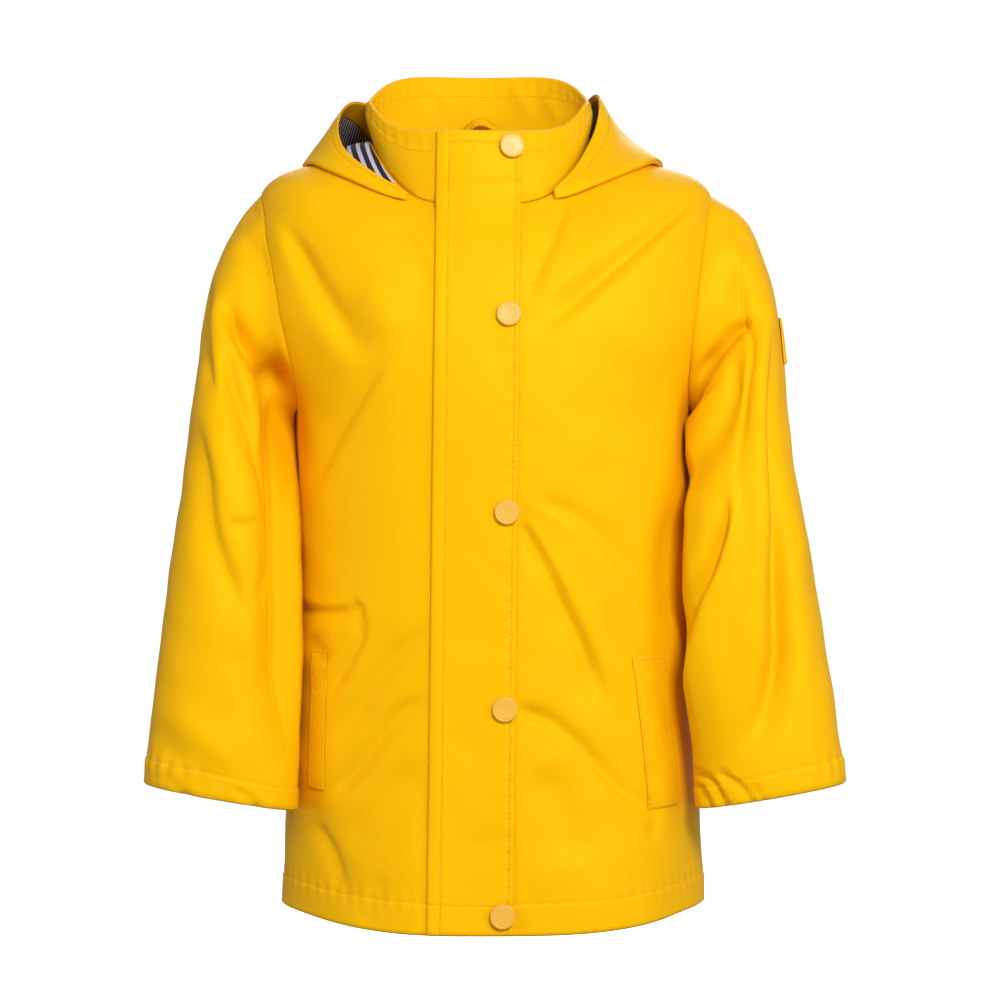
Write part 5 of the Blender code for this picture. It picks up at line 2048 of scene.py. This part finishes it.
class Wire:
    """One socket's value; arithmetic on it adds Math nodes."""

    def __init__(self, bench: "Bench", socket: bpy.types.NodeSocket) -> None:
        """Wrap a socket on a bench."""
        self.bench = bench
        self.socket = socket

    def _math(self, operation: str, first: "Wire | float", second: "Wire | float") -> "Wire":
        """A Math node on two values."""
        return self.bench.node("ShaderNodeMath", {"operation": operation}, {0: first, 1: second})

    def __add__(self, other: "Wire | float") -> "Wire":
        """This plus another."""
        return self._math("ADD", self, other)

    __radd__ = __add__

    def __rsub__(self, other: "Wire | float") -> "Wire":
        """Another less this."""
        return self._math("SUBTRACT", other, self)

    def __mul__(self, other: "Wire | float") -> "Wire":
        """This times another."""
        return self._math("MULTIPLY", self, other)

    __rmul__ = __mul__

    def sine(self) -> "Wire":
        """The sine of this."""
        return self.bench.node("ShaderNodeMath", {"operation": "SINE"}, {0: self})

    def step(self, low: float, high: float) -> "Wire":
        """A soft step from 0 at low to 1 at high.

        Args:
            low: Where it starts.
            high: Where it ends.

        Returns:
            The step.
        """
        settings = {"interpolation_type": "SMOOTHSTEP", "data_type": "FLOAT"}
        inputs = {0: self, 1: low, 2: high, 3: 0.0, 4: 1.0}
        return self.bench.node("ShaderNodeMapRange", settings, inputs)


class Bench:
    """A material's node tree with one way to add any node."""

    def __init__(self, name: str) -> None:
        """Start a material with an empty Principled shader.

        Args:
            name: The material's name.
        """
        self.material = bpy.data.materials.new(name)
        self.material.use_nodes = True
        self.tree = self.material.node_tree
        self.shader = self.tree.nodes["Principled BSDF"]

    def node(self, kind: str, settings: dict, inputs: dict, output: int | str = 0) -> Wire:
        """Add one node.

        Args:
            kind: The node's type.
            settings: Its own settings, set first.
            inputs: Socket names or numbers with values or links.
            output: Which output to return.

        Returns:
            The output's value.
        """
        made = self.tree.nodes.new(kind)
        for name, value in settings.items():
            setattr(made, name, value)
        for key, value in inputs.items():
            self.feed(made.inputs[key], value)
        return Wire(self, made.outputs[output])

    def feed(self, socket: bpy.types.NodeSocket, value: "Wire | float | tuple") -> None:
        """Link or set one socket.

        Args:
            socket: The input.
            value: A link or a plain value.
        """
        if isinstance(value, Wire):
            self.tree.links.new(value.socket, socket)
        else:
            socket.default_value = value

    def blend(self, factor: "Wire | float", first: "Wire | tuple", second: "Wire | tuple") -> Wire:
        """A mix of two colours.

        Args:
            factor: 0 for the first, 1 for the second.
            first: A colour.
            second: Another.

        Returns:
            The mixed colour.
        """
        return self.node(
            "ShaderNodeMix", {"data_type": "RGBA"}, {0: factor, 6: first, 7: second}, output=2
        )

    def cloth_place(self) -> Wire:
        """The cloth's own coordinates, in metres across and along."""
        return self.node("ShaderNodeUVMap", {"uv_map": CLOTH_UV}, {})

    def place(self) -> Wire:
        """Places in the coat's frame, in metres."""
        return self.node("ShaderNodeTexCoord", {}, {}, output="Object")

    def noise(self, at: Wire, scale: float, detail: float = 2.0, roughness: float = 0.5) -> Wire:
        """Noise from 0 to 1 with cells of 1/scale metres."""
        inputs = {"Vector": at, "Scale": scale, "Detail": detail, "Roughness": roughness}
        return self.node("ShaderNodeTexNoise", {}, inputs)

    def axes(self, at: Wire) -> tuple[Wire, Wire]:
        """The first two parts of a vector.

        Args:
            at: The vector.

        Returns:
            Its x and its y.
        """
        split = self.node("ShaderNodeSeparateXYZ", {}, {0: at})
        other = Wire(self, split.socket.node.outputs[1])
        return split, other

    def raised(self, height: Wire, distance: float, strength: float) -> Wire:
        """A bump for the shader's normal."""
        inputs = {"Strength": strength, "Distance": distance, "Height": height}
        return self.node("ShaderNodeBump", {}, inputs)

    def finished(self, looks: dict) -> bpy.types.Material:
        """Feed the shader's inputs and hand over the material.

        Args:
            looks: The inputs' names with values or links.

        Returns:
            The material.
        """
        for name, value in looks.items():
            self.feed(self.shader.inputs[name], value)
        return self.material


Colour = tuple[float, float, float, float]


@dataclass(frozen=True)
class Finish:
    """A surface finish; each kind paints its own material once."""

    name: str
    colour: Colour
    roughness: float

    def material(self) -> bpy.types.Material:
        """The finish's material, made at its first use.

        Returns:
            The material.
        """
        made = bpy.data.materials.get(self.name)
        if made is None:
            made = self.paint()
            made.diffuse_color = self.colour
        return made

    def paint(self) -> bpy.types.Material:
        """A new material; each kind of finish paints its own."""
        raise NotImplementedError

    def shade(self, red: float, green: float, blue: float) -> Colour:
        """The colour with its parts scaled."""
        return self.colour[0] * red, self.colour[1] * green, self.colour[2] * blue, 1.0


@dataclass(frozen=True)
class TwistedThread(Finish):
    """Polyester sewing thread, with the fine light and dark turns of its twist."""

    twist_cell: float = 0.0004
    twist_height: float = 0.00005

    def paint(self) -> bpy.types.Material:
        """Colour, roughness and twist of the thread.

        Returns:
            The material.
        """
        bench = Bench(self.name)
        twist = bench.noise(bench.place(), 1.0 / self.twist_cell)
        return bench.finished({
            "Base Color": bench.blend(twist, self.colour, self.shade(0.92, 0.90, 0.86)),
            "Roughness": twist * 0.10 + (self.roughness - 0.05),
            "Normal": bench.raised(twist, self.twist_height, 0.4),
        })


@dataclass(frozen=True)
class CoatedCloth(Finish):
    """Rubbery coated cloth: a fine grain over a woven base, with a soft sheen."""

    deep: Colour = (0.84, 0.425, 0.0008, 1.0)
    glint: Colour = (1.0, 0.66, 0.06, 1.0)
    sheen: Colour = (1.0, 0.70, 0.10, 1.0)
    cloud_scale: float = 22.0
    grain_cell: float = 0.00085
    grain_height: float = 0.00006
    weave_pitch: float = 0.00075

    def paint(self) -> bpy.types.Material:
        """Colour, roughness and grain of the coating.

        Returns:
            The material.
        """
        bench = Bench(self.name)
        at = bench.place()
        u, v = bench.axes(bench.cloth_place())
        cloud = bench.noise(at, self.cloud_scale, 3.0, 0.55)
        fine = bench.noise(at, 1.0 / self.grain_cell, 2.0, 0.6)
        tone = cloud.step(0.30, 0.72) * 0.20 + fine * 0.10
        turn = math.tau / self.weave_pitch
        weave = (u * turn).sine() * (v * turn).sine()
        return bench.finished({
            "Base Color": bench.blend(tone, self.colour, self.deep),
            "Roughness": fine * 0.10 + cloud * 0.06 + (self.roughness - 0.08),
            "Normal": bench.raised(fine * 0.6 + weave * 0.22, self.grain_height, 0.55),
            "Specular IOR Level": 0.40,
            "Specular Tint": self.glint,
            "Sheen Weight": 0.04,
            "Sheen Roughness": 0.5,
            "Sheen Tint": self.sheen,
        })


@dataclass(frozen=True)
class StripedJersey(Finish):
    """Cotton jersey with narrow dark and pale stripes."""

    pale: Colour = (0.62, 0.55, 0.68, 1.0)
    stripe_pitch: float = 0.0062
    stripe_slant: float = 0.12
    wobble_scale: float = 60.0
    wobble: float = 0.0006
    fuzz_scale: float = 1400.0
    loop_pitch: float = 0.0009
    loop_height: float = 0.00012

    def paint(self) -> bpy.types.Material:
        """Stripes along the cloth's length, with knit loops.

        Returns:
            The material.
        """
        bench = Bench(self.name)
        u, v = bench.axes(bench.cloth_place())
        wobble = bench.noise(bench.place(), self.wobble_scale, 1.0) * self.wobble
        across = u + wobble + v * self.stripe_slant
        mask = (across * (math.tau / self.stripe_pitch)).sine().step(0.10, 0.34)
        fuzz = bench.noise(bench.place(), self.fuzz_scale) * 0.35
        turn = math.tau / self.loop_pitch
        loops = (u * turn).sine() * (v * turn).sine()
        return bench.finished({
            "Base Color": bench.blend(mask * (1.0 - fuzz * 0.35), self.colour, self.pale),
            "Roughness": self.roughness,
            "Normal": bench.raised(loops, self.loop_height, 0.5),
            "Sheen Weight": 0.04,
        })


@dataclass(frozen=True)
class MouldedPlastic(Finish):
    """Satin moulded plastic with faint wear."""

    cloud_scale: float = 180.0
    scuff_scale: float = 1500.0
    scuff_height: float = 0.00004

    def paint(self) -> bpy.types.Material:
        """Colour with faint clouding and fine scuffs.

        Returns:
            The material.
        """
        bench = Bench(self.name)
        cloud = bench.noise(bench.place(), self.cloud_scale)
        fine = bench.noise(bench.place(), self.scuff_scale)
        return bench.finished({
            "Base Color": bench.blend(cloud, self.colour, self.shade(0.93, 0.90, 0.85)),
            "Roughness": cloud * 0.12 + (self.roughness - 0.06),
            "Normal": bench.raised(fine, self.scuff_height, 0.4),
        })


COATED_CLOTH = CoatedCloth("coated_cloth_finish", (0.90, 0.475, 0.0012, 1.0), 0.50)
THREAD_FINISH = TwistedThread("sewing_thread", (0.82, 0.435, 0.006, 1.0), 0.62)
STRIPED_LINING = StripedJersey("striped_lining_finish", (0.009, 0.006, 0.022, 1.0), 0.88)
SNAP_PLASTIC = MouldedPlastic("snap_plastic_finish", (0.84, 0.46, 0.045, 1.0), 0.38)


# ---------------------------------------------------------------- stage, light and camera

# name, place, side in metres, watts
STUDIO_LAMPS = (
    ("key", (0.66, -2.35, 0.85), 0.6, 50.0),
    ("left_fill", (-2.1, -1.5, 0.1), 1.0, 14.0),
    ("right_fill", (2.1, -1.7, 0.2), 1.0, 17.0),
    ("back", (0.2, 2.4, 1.2), 1.6, 34.0),
)


@dataclass
class Studio:
    """A white paper floor and backdrop, soft lights and the camera."""

    floor_z: float = -0.66
    reach: float = 6.0
    sides: int = 96
    paper_glow: float = 0.75
    target: tuple[float, float, float] = (0.0039, 0.0, -0.2015)
    distance: float = 2.6
    lens: float = 144.0
    world_strength: float = 0.27

    def softbox(self, name: str, place: tuple, size: float, power: float) -> None:
        """A square area light that faces the coat.

        Args:
            name: The light's name.
            place: Where it stands.
            size: Its side, in metres.
            power: Its power, in watts.
        """
        light = bpy.data.lights.new(name, "AREA")
        light.shape, light.size, light.energy = "SQUARE", size, power
        lamp = bpy.data.objects.new(name, light)
        lamp.location = place
        aim = Vector(self.target) - Vector(place)
        lamp.rotation_euler = aim.to_track_quat("-Z", "Y").to_euler()
        bpy.context.scene.collection.objects.link(lamp)

    def paper(self) -> bpy.types.Material:
        """White paper, evenly lit from its own lamps so that it stays white.

        Returns:
            The material.
        """
        return Bench("stage_paper").finished({
            "Base Color": (0.9, 0.9, 0.9, 1.0),
            "Roughness": 0.95,
            "Emission Color": (1.0, 1.0, 1.0, 1.0),
            "Emission Strength": self.paper_glow,
        })

    def room(self) -> None:
        """The floor and a round backdrop, seen by the camera alone."""
        index = np.arange(self.sides)
        turn, after = np.radians(index * 360.0 / self.sides), np.roll(index, -1)
        ring = np.stack((np.cos(turn), np.sin(turn), np.zeros(self.sides)), axis=-1) * self.reach
        low, high = ring + (0.0, 0.0, self.floor_z - 0.01), ring + (0.0, 0.0, self.reach)
        wall = np.stack((index, after, after + self.sides, index + self.sides), axis=-1)
        z, r = self.floor_z, self.reach
        corners = np.array([(-r, -r, z), (r, -r, z), (r, r, z), (-r, r, z)], dtype=float)
        floor = new_mesh_object("stage_floor", corners, np.array([[0, 1, 2, 3]]))
        backdrop = new_mesh_object("stage_backdrop", np.concatenate((low, high)), wall)
        for piece in (floor, backdrop):
            piece.data.materials.append(bpy.data.materials.get("stage_paper") or self.paper())
            piece.visible_diffuse = piece.visible_glossy = piece.visible_shadow = False

    def build(self) -> None:
        """Set the stage."""
        scene = bpy.context.scene
        self.room()
        world = bpy.data.worlds.new("studio")
        scene.world = world
        world.use_nodes = True
        background = world.node_tree.nodes["Background"]
        background.inputs["Color"].default_value = (1.0, 1.0, 1.0, 1.0)
        background.inputs["Strength"].default_value = self.world_strength
        for lamp in STUDIO_LAMPS:
            self.softbox(*lamp)
        camera = bpy.data.cameras.new("camera")
        camera.lens, camera.sensor_width = self.lens, 36.0
        holder = bpy.data.objects.new("camera", camera)
        holder.location = (self.target[0], self.target[1] - self.distance, self.target[2])
        holder.rotation_euler = (math.radians(90.0), 0.0, 0.0)
        scene.collection.objects.link(holder)
        scene.camera = holder
        scene.view_settings.view_transform = "Standard"
        scene.view_settings.look = "None"


def main() -> None:
    """Build and dress the whole coat."""
    logging.basicConfig(level=logging.INFO, format="%(message)s")
    BodyPanels().build()
    right = Sleeve(Side.RIGHT, Cut(0.310, 0.400, 0.0900))
    left = Sleeve(Side.LEFT, Cut(0.310, 0.400, 0.0890))
    for sleeve in (right, left):
        sleeve.build()
    SleeveTab(left, Cut(0.024, 0.045, 0.00085, Held.LAID, ("sleeve_left_cloth",))).build()
    Collar().build()
    StormFlap().build()
    PocketWelt(
        Side.RIGHT, top_x=-0.1060, bottom_x=-0.1075, top_z=-0.2967, bottom_z=-0.3845, width=0.0145,
        cut=Cut(0.0145, 0.090, 0.00125, Held.LAID, ("front_right_cloth",)),
    ).build()
    PocketWelt(
        Side.LEFT, top_x=0.0880, bottom_x=0.0990, top_z=-0.2997, bottom_z=-0.3954, width=0.0250,
        cut=Cut(0.025, 0.098, 0.0024, Held.LAID, ("front_left_cloth",)),
    ).build()
    Hood().build()
    HangerLoop().build()
    for number in range(1, 6):
        SnapCap(number).build()
    Studio().build()


if __name__ == "__main__":
    main()
